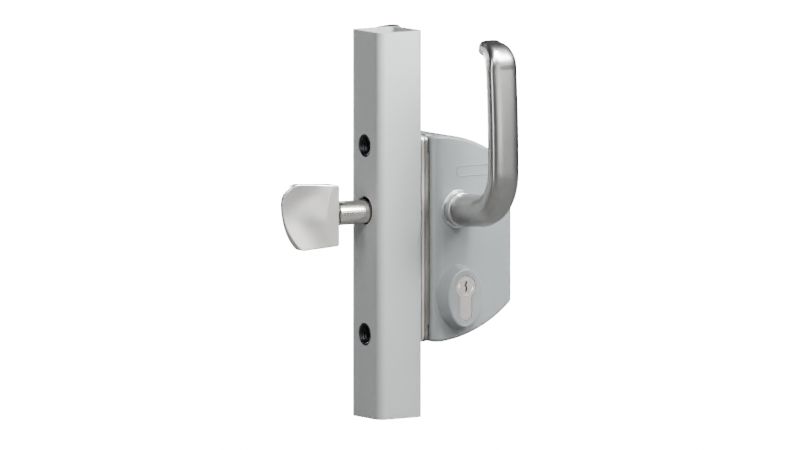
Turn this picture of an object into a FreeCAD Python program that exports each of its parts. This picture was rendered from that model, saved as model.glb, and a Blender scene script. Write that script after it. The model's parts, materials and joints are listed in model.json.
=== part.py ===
"""Sliding gate lock, shown on a short length of its gate upright.

Millimetres. +X runs along the gate, from the bolt head towards the lock case.
+Y runs from the front of the gate to its back. +Z is up. The origin is the
middle of the upright's lower end.
"""
import FreeCAD
import Part
import math
import os
from FreeCAD import Vector

# Gate upright
UPRIGHT_SIDE = 40.0
UPRIGHT_WALL = 3.0
UPRIGHT_CORNER = 6.0
UPRIGHT_LENGTH = 290.0
BOLT_AXIS_Z = 155.0
BOLT_HOLE_RADIUS = 10.5
BOLT_HOLE_RISE = 0.8

# Plates between the upright and the lock case
CASE_MIDDLE_DROP = 21.5
PLATE_HEIGHT = 156.0
PLATE_WIDTH = 34.0
PLATE_CORNER = 5.0
MOUNT_PLATE_THICKNESS = 2.2
GASKET_THICKNESS = 0.9
GASKET_INSET = 0.8
END_PLATE_THICKNESS = 2.0

# Fixing of the lock to the upright
FIXING_SPACING = 141.5
FIXING_BOLT_RADIUS = 3.0
FIXING_HEAD_RADIUS = 5.0
FIXING_HEAD_HEIGHT = 6.0
FIXING_HEX_RADIUS = 2.9
FIXING_HEX_DEPTH = 3.2
FIXING_HOLE_CLEARANCE = 0.3
SCREW_END_GAP = 1.0
SLEEVE_RADIUS = 8.4
SLEEVE_HOLE_CLEARANCE = 0.2
SLEEVE_RECESS = 0.5
SLEEVE_BORE_RADIUS = 6.4
SLEEVE_SEAT_THICKNESS = 12.0
SLEEVE_THREAD_PITCH = 2.2
SLEEVE_THREAD_DEPTH = 0.7
SLEEVE_THREAD_TURNS = 8
FIXING_NUT_RADIUS = 4.4
FIXING_NUT_LENGTH = 6.0
FIXING_NUT_CLEARANCE = 0.3
THREAD_GAP = 0.05

# Lock case
CASE_WALL = 2.0
CASE_LENGTH = 58.9
CASE_FLAT_LENGTH = 20.0
CASE_HALF_HEIGHT = 65.0
CASE_FAR_HALF_HEIGHT = 56.5
SPACER_RADIUS = 3.0
SPACER_SCREW_RADIUS = 1.5
SPACER_SCREW_DEPTH = 6.0
SPACER_HEAD_RADIUS = 2.75
SPACER_HEAD_HEIGHT = 1.6
SPACER_FAR_X = 52.9
SPACER_FAR_RISE = 44.0
SPACER_NEAR_X = 36.0
SPACER_NEAR_RISE = 53.2

# Covers
COVER_GAP = 1.5
COVER_LENGTH = 69.4
COVER_DEPTH = 24.5
COVER_ARC_RADIUS = 102.0
COVER_WALL = 2.5
COVER_NEAR_ROUNDING = 8.0
COVER_EDGE_ROUNDING = 3.0
COVER_CORNER = 4.0
COVER_SEAM = 0.3
COVER_CASE_CLEARANCE = 0.3
POST_RADIUS = 4.0
POST_NEAR_X = 17.6
POST_NEAR_RISE = 69.3
POST_FAR_X = 62.4
POST_FAR_RISE = 25.0
COVER_SCREW_RADIUS = 1.5
COVER_SCREW_LENGTH = 20.0
COVER_SCREW_CLEARANCE = 0.2
COVER_SCREW_SEAT = 8.0
COVER_HEAD_RADIUS = 2.75
COVER_HEAD_HEIGHT = 2.4
COVER_HEAD_CLEARANCE = 0.25

# Handles, spindle and follower
BACKSET = 22.4
SPINDLE_SIDE = 9.0
SPINDLE_CLEARANCE = 0.1
SPINDLE_HALF_LENGTH = 52.0
HUB_RADIUS = 7.6
HUB_OVERHANG = 1.0
RUNNING_GAP = 0.05
HUB_BUSH_RADIUS = 10.0
HUB_BUSH_FLANGE_RADIUS = 12.0
HUB_BUSH_FLANGE = 1.5
ROSE_RADIUS = 13.0
ROSE_FLANGE_RADIUS = 14.5
ROSE_FLANGE = 1.2
ROSE_PROTRUSION = 7.2
ROSE_ROUNDING = 1.2
ROSE_TAIL = 1.5
ROSE_PRESS_GAP = 0.05
HANDLE_JOURNAL_RADIUS = 11.2
HANDLE_JOURNAL_START = 20.8
HANDLE_JOURNAL_OVERLAP = 1.0
HANDLE_NECK_START = 36.1
HANDLE_NECK_RADIUS = 12.2
HANDLE_NECK_RISE_DEG = 4.3
HANDLE_NECK_LENGTH = 19.3
HANDLE_BEND_RADIUS = 31.5
HANDLE_GRIP_HALF_WIDTH = 11.9
HANDLE_GRIP_HALF_DEPTH = 7.0
HANDLE_SQUARENESS = 0.5
HANDLE_GRIP_LENGTH = 77.0
HANDLE_GRIP_CURVE_RADIUS = 990.0
HANDLE_CURL_RADIUS = 15.3
HANDLE_CURL_DEG = 71.0
HANDLE_TIP_LENGTH = 4.7
HANDLE_TIP_HALF_WIDTH = 9.3
HANDLE_TIP_HALF_DEPTH = 6.2
HANDLE_TIP_BEVEL = 2.0
HANDLE_TURN_DEG = 60.0
GRUB_RADIUS = 2.5
GRUB_SETBACK = 2.0
GRUB_OUT = 42.0

# Rack drive between the follower and the bolt
GEAR_MODULE = 1.6
PRESSURE_ANGLE_DEG = 25.0
ADDENDUM = 1.28
TIP_CLEARANCE = 0.3
BACKLASH = 0.25
FOLLOWER_TEETH = 15
BOLT_PINION_TEETH = 10
FOLLOWER_GEAR_WIDTH = 4.6
BOLT_PINION_WIDTH = 5.4
GEAR_SIDE_GAP = 0.3
RACK_TEETH_ABOVE = 2
RACK_TOOTH_MARGIN = 1.0
RACK_TOOTH_ROOTING = 0.5
RACK_TAIL = 26.0
RACK_TAIL_BELOW_SLIDE = 1.5
RACK_HEAD_GAP = 0.5
RACK_HEAD_THICKNESS = 4.0
RACK_HEAD_DEPTH = 10.0
RACK_HEAD_RIM = 4.0
GUIDE_GAP = 0.15
GUIDE_WALL = 2.6
LOWER_GUIDE_HEIGHT = 11.0
LOWER_GUIDE_DROP = 4.0
UPPER_GUIDE_HEIGHT = 18.0
SPRING_WIRE_RADIUS = 0.55
SPRING_COIL_RADIUS = 3.4
SPRING_TURNS = 6
SPRING_END_GAP = 0.05

# Bolt
BOLT_ROD_RADIUS = 9.0
BOLT_BUSH_RADIUS = 10.2
BOLT_BUSH_REACH = 14.0
BOLT_BUSH_FLANGE_RADIUS = 13.5
BOLT_BUSH_FLANGE = 2.7
BOLT_BUSH_FIT_GAP = 0.1
BOLT_COLLAR_RADIUS = 5.6
BOLT_TANG_SIDE = 7.0
BOLT_TANG_CLEARANCE = 0.05
BOLT_THREAD_RADIUS = 3.0
BOLT_NUT_RADIUS = 5.6
BOLT_NUT_THICKNESS = 3.6
BOLT_END_CLEARANCE = 1.0
CIRCLIP_RADIUS = 10.3
CIRCLIP_GROOVE_RADIUS = 8.2
CIRCLIP_THICKNESS = 1.6
CIRCLIP_GAP = 0.2
HEAD_REACH = 26.5
HEAD_SHOULDER_GAP = 0.6
HEAD_LENGTH = 47.6
HEAD_HALF_THICKNESS = 6.5
HEAD_HALF_HEIGHT = 21.8
HEAD_FOOT = 23.8
HEAD_FLARE = 2.3
HEAD_TOP_LENGTH = 34.1
HEAD_BOTTOM_LENGTH = 31.6
HEAD_APEX_RISE = 7.4
HEAD_UPPER_BULGE = 4.2
HEAD_LOWER_BULGE = 3.8
HEAD_CORNER = 5.5
HEAD_BACK_CORNER = 1.5
HEAD_SCOOP_RADIUS = 83.5
HEAD_SCOOP_DEPTH = 5.2
HEAD_SCOOP_DEG = 60.0
TENON_RADIUS = 5.0
TENON_LENGTH = 16.0
HEAD_PIN_RADIUS = 2.0
HEAD_PIN_SETBACK = 8.0
HEAD_PIN_BLIND = 2.5

# Lock cylinder, euro profile
CYLINDER_DROP = 58.0
CYLINDER_HALF_LENGTH = 35.0
CYLINDER_RADIUS = 8.5
CYLINDER_LEG_WIDTH = 10.0
CYLINDER_HEIGHT = 33.0
CYLINDER_HOLE_CLEARANCE = 0.35
PLUG_RADIUS = 6.75
CAM_HALF_WIDTH = 5.0
CAM_SIDE_GAP = 0.1
CAM_RING_RADIUS = 7.6
CAM_TIP_RADIUS = 15.2
CAM_NOSE_HALF_WIDTH = 3.5
CAM_SLOT_CLEARANCE = 0.4
CYLINDER_SCREW_DROP = 20.0
CYLINDER_SCREW_RADIUS = 2.5
CYLINDER_SCREW_HEAD_RADIUS = 4.25
CYLINDER_SCREW_HEAD_HEIGHT = 2.9
CYLINDER_SCREW_END = 4.0
PIN_RADIUS = 1.45
PIN_CHAMBER_RADIUS = 1.5
PIN_COUNT = 5
PIN_FIRST = 11.0
PIN_PITCH = 4.6
PIN_CHAMBER_END = 2.0
PIN_SHEAR_GAP = 0.15
DRIVER_PIN_LENGTH = 6.0
KEYWAY_TOP = 4.6
KEYWAY_BOTTOM = 3.4
KEYWAY_WIDTH = 1.5
KEYWAY_END = 1.0
KEYWAY_SWING = 1.1
KEY_PIN_STEP = 0.6
KEY_PIN_STEPS = 3
BOSS_HALF_WIDTH = 15.2
BOSS_HALF_HEIGHT = 22.0
BOSS_TAPER = 2.7
BOSS_PROTRUSION = 10.8
BOSS_ROUNDING = 1.6

# Deadlock slide
SLIDE_HEIGHT = 9.0
SLIDE_THICKNESS = 3.0
SLIDE_LENGTH = 39.0
SLIDE_STANDOFF = 6.0
SLIDE_TRAVEL = 5.5
SLIDE_ENGAGEMENT = 3.0
SLIDE_CAM_GAP = 0.8
SLIDE_LUG_HEIGHT = 5.0
SLIDE_LUG_LENGTH = 6.0
SLIDE_LUG_START = 3.0
SLIDE_SLOT_START = 12.0
SLIDE_PIN_RADIUS = 2.0
SLIDE_PIN_GAP = 0.1
SLIDE_PIN_SPACING = 12.0
SLIDE_PIN_HEAD_RADIUS = 3.4
SLIDE_PIN_HEAD = 1.2
SLIDE_WALL_GAP = 1.3

# Places worked out from the sizes above
FACE_X = UPRIGHT_SIDE / 2
INNER_X = FACE_X - UPRIGHT_WALL
MIDDLE_Z = BOLT_AXIS_Z - CASE_MIDDLE_DROP
MOUNT_X1 = FACE_X + MOUNT_PLATE_THICKNESS
END_X0 = MOUNT_X1 + GASKET_THICKNESS
END_X1 = END_X0 + END_PLATE_THICKNESS
CASE_HALF_WIDTH = PLATE_WIDTH / 2
CASE_INNER = CASE_HALF_WIDTH - CASE_WALL
COVER_X0 = END_X1 + COVER_GAP
COVER_X1 = COVER_X0 + COVER_LENGTH
COVER_HALF_HEIGHT = PLATE_HEIGHT / 2
SPINDLE_X = END_X1 + BACKSET
PLUG_Z = BOLT_AXIS_Z - CYLINDER_DROP
FIXING_Z = [MIDDLE_Z - FIXING_SPACING / 2, MIDDLE_Z + FIXING_SPACING / 2]
FIXING_HOLE_RADIUS = FIXING_BOLT_RADIUS + FIXING_HOLE_CLEARANCE
SLEEVE_SEAT_X = INNER_X - SLEEVE_SEAT_THICKNESS

GEAR_PITCH = math.pi * GEAR_MODULE
DEDENDUM = ADDENDUM + TIP_CLEARANCE
FOLLOWER_RADIUS = GEAR_MODULE * FOLLOWER_TEETH / 2
BOLT_PINION_RADIUS = GEAR_MODULE * BOLT_PINION_TEETH / 2
RACK_TRAVEL = FOLLOWER_RADIUS * math.radians(HANDLE_TURN_DEG)
RACK_TEETH_BELOW = math.ceil(RACK_TRAVEL / GEAR_PITCH) + 1
RACK_X1 = SPINDLE_X - FOLLOWER_RADIUS - DEDENDUM
RACK_X0 = RACK_X1 - BOLT_PINION_WIDTH - GEAR_SIDE_GAP
RACK_Y0 = BOLT_PINION_RADIUS + DEDENDUM
RACK_Y1 = CASE_INNER - GUIDE_GAP
RACK_HEAD_Z = BOLT_AXIS_Z + FOLLOWER_RADIUS + ADDENDUM + RACK_HEAD_GAP
RACK_TOP_Z = RACK_HEAD_Z + RACK_HEAD_THICKNESS
RACK_TEETH_END_Z = BOLT_AXIS_Z - RACK_TEETH_BELOW * GEAR_PITCH - RACK_TOOTH_MARGIN
RACK_BOTTOM_Z = RACK_TEETH_END_Z - RACK_TAIL
RACK_HEAD_X1 = RACK_X0 + 2 * (SPRING_COIL_RADIUS + SPRING_WIRE_RADIUS) + RACK_HEAD_RIM
RACK_HEAD_Y0 = RACK_Y1 - RACK_HEAD_DEPTH
SPRING_X = RACK_HEAD_X1 - SPRING_COIL_RADIUS - 2 * SPRING_WIRE_RADIUS
SPRING_Y = (RACK_HEAD_Y0 + RACK_Y1) / 2
CASE_CEILING_Z = MIDDLE_Z + CASE_HALF_HEIGHT - CASE_WALL
LOWER_GUIDE_Z1 = RACK_TEETH_END_Z - LOWER_GUIDE_DROP
LOWER_GUIDE_Z0 = LOWER_GUIDE_Z1 - LOWER_GUIDE_HEIGHT

BOLT_BUSH_X0 = FACE_X - BOLT_BUSH_REACH
BOLT_BUSH_X1 = END_X1 + BOLT_BUSH_FLANGE
BOLT_PINION_X0 = RACK_X0 + GEAR_SIDE_GAP / 2
BOLT_PINION_X1 = BOLT_PINION_X0 + BOLT_PINION_WIDTH
BOLT_END_X = SPINDLE_X - HUB_RADIUS - BOLT_END_CLEARANCE
HEAD_X1 = -FACE_X - HEAD_REACH
ROD_X0 = HEAD_X1 + HEAD_SHOULDER_GAP

ROSE_FRONT = COVER_DEPTH + ROSE_PROTRUSION
SLIDE_Z0 = RACK_BOTTOM_Z + RACK_TAIL_BELOW_SLIDE
SLIDE_Z1 = SLIDE_Z0 + SLIDE_HEIGHT
SLIDE_Y1 = CASE_INNER - SLIDE_WALL_GAP
SLIDE_Y0 = SLIDE_Y1 - SLIDE_THICKNESS
SLIDE_X0 = RACK_X1 + SLIDE_STANDOFF
SLIDE_X1 = SLIDE_X0 + SLIDE_LENGTH
SLIDE_PIN_X = SLIDE_X0 + SLIDE_SLOT_START + SLIDE_PIN_RADIUS + SLIDE_PIN_GAP
SLIDE_PIN_Z = (SLIDE_Z0 + SLIDE_Z1) / 2

ALONG_X = Vector(1, 0, 0)
ALONG_Y = Vector(0, 1, 0)
ALONG_Z = Vector(0, 0, 1)
NEARNESS = 1e-3


def block(x0, x1, y0, y1, z0, z1):
    return Part.makeBox(x1 - x0, y1 - y0, z1 - z0, Vector(x0, y0, z0))


def rod_x(radius, x0, x1, y, z):
    return Part.makeCylinder(radius, x1 - x0, Vector(x0, y, z), ALONG_X)


def rod_y(radius, y0, y1, x, z):
    return Part.makeCylinder(radius, y1 - y0, Vector(x, y0, z), ALONG_Y)


def rod_z(radius, z0, z1, x, y):
    return Part.makeCylinder(radius, z1 - z0, Vector(x, y, z0), ALONG_Z)


def mirrored(shape):
    """The same piece on the other side of the gate."""
    return shape.mirror(Vector(0, 0, 0), ALONG_Y)


def joined(first, *others):
    result = first
    for other in others:
        result = result.fuse(other)
    return result.removeSplitter()


def without(shape, *tools):
    for tool in tools:
        shape = shape.cut(tool)
    return shape


def group(solids):
    return Part.makeCompound(solids)


def edges_where(shape, test):
    return [edge for edge in shape.Edges if test(edge)]


def is_along(edge, direction):
    first, last = edge.Vertexes[0].Point, edge.Vertexes[-1].Point
    span = last.sub(first)
    return span.Length > NEARNESS and abs(abs(span.normalize().dot(direction)) - 1) < NEARNESS ** 2


def rounded_plate(x0, x1, half_width, half_height, corner):
    """A plate across X with round corners, about the middle of the lock case."""
    plate = block(x0, x1, -half_width, half_width, MIDDLE_Z - half_height, MIDDLE_Z + half_height)
    return plate.makeFillet(corner, edges_where(plate, lambda edge: is_along(edge, ALONG_X)))


def hexagon_x(radius, x0, x1, y, z):
    """A hexagonal bar along X; the radius is half the width across its flats."""
    corner = radius / math.cos(math.pi / 6)
    points = []
    for step in range(7):
        angle = math.pi / 6 + step * math.pi / 3
        points.append(Vector(x0, y + corner * math.cos(angle), z + corner * math.sin(angle)))
    face = Part.Face(Part.makePolygon(points))
    return face.extrude(Vector(x1 - x0, 0, 0))


# Gate upright and fixings

def gate_upright():
    half = UPRIGHT_SIDE / 2
    outer = block(-half, half, -half, half, 0, UPRIGHT_LENGTH)
    outer = outer.makeFillet(UPRIGHT_CORNER, edges_where(outer, lambda edge: is_along(edge, ALONG_Z)))
    inner = block(-INNER_X, INNER_X, -INNER_X, INNER_X, 0, UPRIGHT_LENGTH)
    inner_corner = UPRIGHT_CORNER - UPRIGHT_WALL
    inner = inner.makeFillet(inner_corner, edges_where(inner, lambda edge: is_along(edge, ALONG_Z)))
    tube = outer.cut(inner)
    hole_z = BOLT_AXIS_Z + BOLT_HOLE_RISE
    tube = tube.cut(rod_x(BOLT_HOLE_RADIUS, -half, 0, 0, hole_z))
    tube = tube.cut(rod_x(BOLT_BUSH_RADIUS + BOLT_BUSH_FIT_GAP, 0, half, 0, BOLT_AXIS_Z))
    for z in FIXING_Z:
        tube = tube.cut(rod_x(SLEEVE_RADIUS + SLEEVE_HOLE_CLEARANCE, -half, 0, 0, z))
        tube = tube.cut(rod_x(FIXING_HOLE_RADIUS, 0, half, 0, z))
    return tube


def fixing_sleeve(z):
    """A spacer tube inside the upright, threaded at its open end, seat at the other."""
    start = -FACE_X + SLEEVE_RECESS
    crest = SLEEVE_BORE_RADIUS
    root = SLEEVE_BORE_RADIUS + SLEEVE_THREAD_DEPTH
    points = [Vector(start, 0, SLEEVE_RADIUS), Vector(INNER_X, 0, SLEEVE_RADIUS)]
    points.append(Vector(INNER_X, 0, FIXING_HOLE_RADIUS))
    points.append(Vector(SLEEVE_SEAT_X, 0, FIXING_HOLE_RADIUS))
    points.append(Vector(SLEEVE_SEAT_X, 0, crest))
    for turn in reversed(range(SLEEVE_THREAD_TURNS)):
        groove = start + (turn + 0.5) * SLEEVE_THREAD_PITCH
        points.append(Vector(groove + SLEEVE_THREAD_PITCH / 2, 0, crest))
        points.append(Vector(groove, 0, root))
    points.append(Vector(start, 0, crest))
    points.append(points[0])
    profile = Part.Face(Part.makePolygon(points))
    sleeve = profile.revolve(Vector(0, 0, 0), ALONG_X, 360)
    sleeve.translate(Vector(0, 0, z))
    return sleeve


def fixing_bolt(z):
    head = rod_x(FIXING_HEAD_RADIUS, SLEEVE_SEAT_X - FIXING_HEAD_HEIGHT, SLEEVE_SEAT_X, 0, z)
    shank = rod_x(FIXING_BOLT_RADIUS, SLEEVE_SEAT_X, END_X1 + FIXING_NUT_LENGTH, 0, z)
    socket_x = SLEEVE_SEAT_X - FIXING_HEAD_HEIGHT
    socket = hexagon_x(FIXING_HEX_RADIUS, socket_x, socket_x + FIXING_HEX_DEPTH, 0, z)
    return without(joined(head, shank), socket)


def fixing_nut(z):
    nut = rod_x(FIXING_NUT_RADIUS, END_X1, END_X1 + FIXING_NUT_LENGTH, 0, z)
    bore = rod_x(FIXING_BOLT_RADIUS + THREAD_GAP, END_X1, END_X1 + FIXING_NUT_LENGTH, 0, z)
    return nut.cut(bore)


def plate_holes(x0, x1):
    """The holes that every plate between the upright and the case has."""
    holes = [rod_x(BOLT_BUSH_RADIUS + BOLT_BUSH_FIT_GAP, x0, x1, 0, BOLT_AXIS_Z)]
    for z in FIXING_Z:
        holes.append(rod_x(FIXING_HOLE_RADIUS, x0, x1, 0, z))
    return holes


def screw_head_hole(x0, x1):
    radius = CYLINDER_SCREW_HEAD_RADIUS + CYLINDER_HOLE_CLEARANCE
    return rod_x(radius, x0, x1, 0, PLUG_Z - CYLINDER_SCREW_DROP)


def mounting_plate():
    plate = rounded_plate(FACE_X, MOUNT_X1, CASE_HALF_WIDTH, PLATE_HEIGHT / 2, PLATE_CORNER)
    return without(plate, screw_head_hole(FACE_X, MOUNT_X1), *plate_holes(FACE_X, MOUNT_X1))


def gasket():
    half_width = CASE_HALF_WIDTH - GASKET_INSET
    half_height = PLATE_HEIGHT / 2 - GASKET_INSET
    sheet = rounded_plate(MOUNT_X1, END_X0, half_width, half_height, PLATE_CORNER - GASKET_INSET)
    return without(sheet, screw_head_hole(MOUNT_X1, END_X0), *plate_holes(MOUNT_X1, END_X0))


# Lock case

def case_outline(inset, y0, y1):
    """The case's side outline, drawn in by the inset, between two planes across Y."""
    x0 = END_X1
    x1 = END_X1 + CASE_FLAT_LENGTH
    x2 = END_X1 + CASE_LENGTH - inset
    near = CASE_HALF_HEIGHT - inset
    far = CASE_FAR_HALF_HEIGHT - inset
    corners = [(x0, -near), (x1, -near), (x2, -far), (x2, far), (x1, near), (x0, near), (x0, -near)]
    outline = Part.makePolygon([Vector(x, y0, MIDDLE_Z + rise) for x, rise in corners])
    return Part.Face(outline).extrude(Vector(0, y1 - y0, 0))


def spacer_places():
    places = []
    for sign in (-1, 1):
        places.append((END_X1 + SPACER_FAR_X, MIDDLE_Z + sign * SPACER_FAR_RISE))
        places.append((END_X1 + SPACER_NEAR_X, MIDDLE_Z + sign * SPACER_NEAR_RISE))
    return places


def slide_pin_places():
    return [SLIDE_PIN_X, SLIDE_PIN_X + SLIDE_PIN_SPACING]


def side_wall_holes(y0, y1):
    """Openings in a side wall of the case: follower bush, cylinder, spacer screws."""
    holes = [rod_y(HUB_BUSH_RADIUS, y0, y1, SPINDLE_X, BOLT_AXIS_Z)]
    holes.append(euro_profile(CYLINDER_HOLE_CLEARANCE, y0, y1))
    for x, z in spacer_places():
        holes.append(rod_y(SPACER_SCREW_RADIUS + THREAD_GAP, y0, y1, x, z))
    return holes


def case_body():
    end_plate = rounded_plate(END_X0, END_X1, CASE_HALF_WIDTH, PLATE_HEIGHT / 2, PLATE_CORNER)
    end_plate = without(end_plate, *plate_holes(END_X0, END_X1))
    screw_z = PLUG_Z - CYLINDER_SCREW_DROP
    screw_hole = rod_x(CYLINDER_SCREW_RADIUS + THREAD_GAP, END_X0, END_X1, 0, screw_z)
    end_plate = end_plate.cut(screw_hole)
    box = case_outline(0, -CASE_INNER, CASE_HALF_WIDTH)
    hollow = case_outline(CASE_WALL, -CASE_INNER, CASE_INNER)
    box = without(box, hollow, *side_wall_holes(CASE_INNER, CASE_HALF_WIDTH))
    for x in slide_pin_places():
        box = box.cut(rod_y(SLIDE_PIN_RADIUS, CASE_INNER, CASE_HALF_WIDTH, x, SLIDE_PIN_Z))
    nut_x1 = END_X1 + FIXING_NUT_LENGTH + FIXING_NUT_CLEARANCE
    for z in FIXING_Z:
        box = box.cut(rod_x(FIXING_NUT_RADIUS + FIXING_NUT_CLEARANCE, END_X1, nut_x1, 0, z))
    return joined(end_plate, box)


def case_lid():
    lid = case_outline(0, -CASE_HALF_WIDTH, -CASE_INNER)
    return without(lid, *side_wall_holes(-CASE_HALF_WIDTH, -CASE_INNER))


def case_spacer(x, z):
    spacer = rod_y(SPACER_RADIUS, -CASE_INNER, CASE_INNER, x, z)
    for y0 in (-CASE_INNER, CASE_INNER - SPACER_SCREW_DEPTH):
        spacer = spacer.cut(rod_y(SPACER_SCREW_RADIUS + THREAD_GAP, y0, y0 + SPACER_SCREW_DEPTH, x, z))
    return spacer


def case_screw(x, z):
    """A pan-head screw through the lid into its spacer."""
    head = rod_y(SPACER_HEAD_RADIUS, -CASE_HALF_WIDTH - SPACER_HEAD_HEIGHT, -CASE_HALF_WIDTH, x, z)
    end = -CASE_INNER + SPACER_SCREW_DEPTH - SCREW_END_GAP
    shank = rod_y(SPACER_SCREW_RADIUS, -CASE_HALF_WIDTH, end, x, z)
    return joined(head, shank)


def case_screws():
    screws = []
    for x, z in spacer_places():
        screw = case_screw(x, z)
        screws.append(screw)
        screws.append(mirrored(screw))
    return group(screws)


# Covers

def cover_form(inset, near_rounding, edge_rounding):
    """The front cover's outer form, drawn in by the inset on every side but the seam."""
    x0, x1 = COVER_X0 + inset, COVER_X1 - inset
    radius = COVER_ARC_RADIUS - inset
    centre_rise = COVER_HALF_HEIGHT - COVER_ARC_RADIUS

    def edge_point(x, sign):
        rise = centre_rise + math.sqrt(radius ** 2 - (x - COVER_X0) ** 2)
        return Vector(x, -COVER_DEPTH + inset, MIDDLE_Z + sign * rise)

    middle = (x0 + x1) / 2
    top = Part.Arc(edge_point(x0, 1), edge_point(middle, 1), edge_point(x1, 1))
    bottom = Part.Arc(edge_point(x1, -1), edge_point(middle, -1), edge_point(x0, -1))
    far = Part.LineSegment(edge_point(x1, 1), edge_point(x1, -1))
    near = Part.LineSegment(edge_point(x0, -1), edge_point(x0, 1))
    outline = Part.Wire([part.toShape() for part in (top, far, bottom, near)])
    form = Part.Face(outline).extrude(Vector(0, COVER_DEPTH - inset - COVER_SEAM / 2, 0))

    def at_far_corner(edge):
        return is_along(edge, ALONG_Y) and edge.CenterOfMass.x > middle

    def at_near_front(edge):
        place = edge.CenterOfMass
        return is_along(edge, ALONG_Z) and place.x < middle and place.y < -COVER_DEPTH / 2

    def around_front(edge):
        box = edge.BoundBox
        lies_in_front = box.YMax < -COVER_DEPTH + inset + near_rounding + NEARNESS
        return lies_in_front and not is_along(edge, ALONG_Z) or lies_in_front and box.XMin > middle

    form = form.makeFillet(COVER_CORNER, edges_where(form, at_far_corner))
    form = form.makeFillet(near_rounding, edges_where(form, at_near_front))
    return form.makeFillet(edge_rounding, edges_where(form, around_front))


def post_places():
    places = []
    for sign in (-1, 1):
        places.append((COVER_X0 + POST_NEAR_X, MIDDLE_Z + sign * POST_NEAR_RISE))
        places.append((COVER_X0 + POST_FAR_X, MIDDLE_Z + sign * POST_FAR_RISE))
    return places


def boss_ring(grow, y):
    """An ellipse round the lock cylinder, in the plane at y."""
    ellipse = Part.Ellipse(Vector(0, 0, 0), BOSS_HALF_HEIGHT + grow, BOSS_HALF_WIDTH + grow)
    wire = Part.Wire([ellipse.toShape()])
    wire.rotate(Vector(0, 0, 0), ALONG_Y, -90)
    wire.rotate(Vector(0, 0, 0), ALONG_Z, -90)
    centre_z = PLUG_Z + CYLINDER_RADIUS - CYLINDER_HEIGHT / 2
    wire.translate(Vector(SPINDLE_X, y, centre_z))
    return wire


def cylinder_boss():
    front = -COVER_DEPTH - BOSS_PROTRUSION
    rings = [boss_ring(BOSS_TAPER, -COVER_DEPTH + COVER_WALL / 2), boss_ring(0, front)]
    boss = Part.makeLoft(rings, True, True)
    rim = edges_where(boss, lambda edge: abs(edge.BoundBox.YMax - front) < NEARNESS)
    return boss.makeFillet(BOSS_ROUNDING, rim)


def case_mouth():
    """The cuts that let the case and the fixing nuts through the covers' upright side."""
    half_height = CASE_HALF_HEIGHT + COVER_CASE_CLEARANCE
    mouth_x1 = COVER_X0 + 2 * COVER_WALL
    cuts = [block(COVER_X0, mouth_x1, -CASE_HALF_WIDTH - COVER_CASE_CLEARANCE, 0,
                  MIDDLE_Z - half_height, MIDDLE_Z + half_height)]
    for z in FIXING_Z:
        cuts.append(rod_x(FIXING_NUT_RADIUS + FIXING_NUT_CLEARANCE, COVER_X0, mouth_x1, 0, z))
    return cuts


def cover_shell():
    """The front cover before its screw holes; the back cover is its mirror image."""
    shell = cover_form(0, COVER_NEAR_ROUNDING, COVER_EDGE_ROUNDING)
    hollow = cover_form(COVER_WALL, COVER_NEAR_ROUNDING - COVER_WALL, COVER_EDGE_ROUNDING / 2)
    shell = shell.cut(hollow)
    shell = joined(without(shell, *case_mouth()), cylinder_boss())
    front = -COVER_DEPTH - BOSS_PROTRUSION
    shell = shell.cut(euro_profile(CYLINDER_HOLE_CLEARANCE, front, 0))
    rose_hole = rod_y(ROSE_RADIUS + ROSE_PRESS_GAP, -COVER_DEPTH, 0, SPINDLE_X, BOLT_AXIS_Z)
    shell = shell.cut(rose_hole)
    posts = []
    for x, z in post_places():
        posts.append(rod_y(POST_RADIUS, -COVER_DEPTH + COVER_WALL, -COVER_SEAM / 2, x, z))
    return joined(shell, *posts)


def front_cover():
    cover = cover_shell()
    for x, z in post_places():
        end = COVER_SCREW_SEAT - COVER_SCREW_LENGTH - SCREW_END_GAP
        cover = cover.cut(rod_y(COVER_SCREW_RADIUS + THREAD_GAP, end, 0, x, z))
    return cover


def back_cover():
    cover = mirrored(cover_shell())
    for x, z in post_places():
        cover = cover.cut(rod_y(COVER_SCREW_RADIUS + COVER_SCREW_CLEARANCE, 0, COVER_DEPTH, x, z))
        radius = COVER_HEAD_RADIUS + COVER_HEAD_CLEARANCE
        cover = cover.cut(rod_y(radius, COVER_SCREW_SEAT, COVER_DEPTH, x, z))
    return cover


def cover_screw(x, z):
    head = rod_y(COVER_HEAD_RADIUS, COVER_SCREW_SEAT, COVER_SCREW_SEAT + COVER_HEAD_HEIGHT, x, z)
    shank = rod_y(COVER_SCREW_RADIUS, COVER_SCREW_SEAT - COVER_SCREW_LENGTH, COVER_SCREW_SEAT, x, z)
    return joined(head, shank)


# Handles and follower

def handle_rose():
    """The front bearing ring that the handle turns in, pressed into the cover."""
    tail = -COVER_DEPTH + COVER_WALL + ROSE_TAIL
    ring = rod_y(ROSE_RADIUS, -ROSE_FRONT, tail, SPINDLE_X, BOLT_AXIS_Z)
    rim = edges_where(ring, lambda edge: edge.BoundBox.YMax < -ROSE_FRONT + NEARNESS)
    ring = ring.makeFillet(ROSE_ROUNDING, rim)
    flange_y = -COVER_DEPTH - ROSE_FLANGE
    flange = rod_y(ROSE_FLANGE_RADIUS, flange_y, -COVER_DEPTH, SPINDLE_X, BOLT_AXIS_Z)
    edge = edges_where(flange, lambda edge: edge.BoundBox.YMax < flange_y + NEARNESS)
    flange = flange.makeFillet(ROSE_FLANGE / 2, edge)
    bore = rod_y(HANDLE_JOURNAL_RADIUS + RUNNING_GAP, -ROSE_FRONT, tail, SPINDLE_X, BOLT_AXIS_Z)
    return joined(ring, flange).cut(bore)


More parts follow.
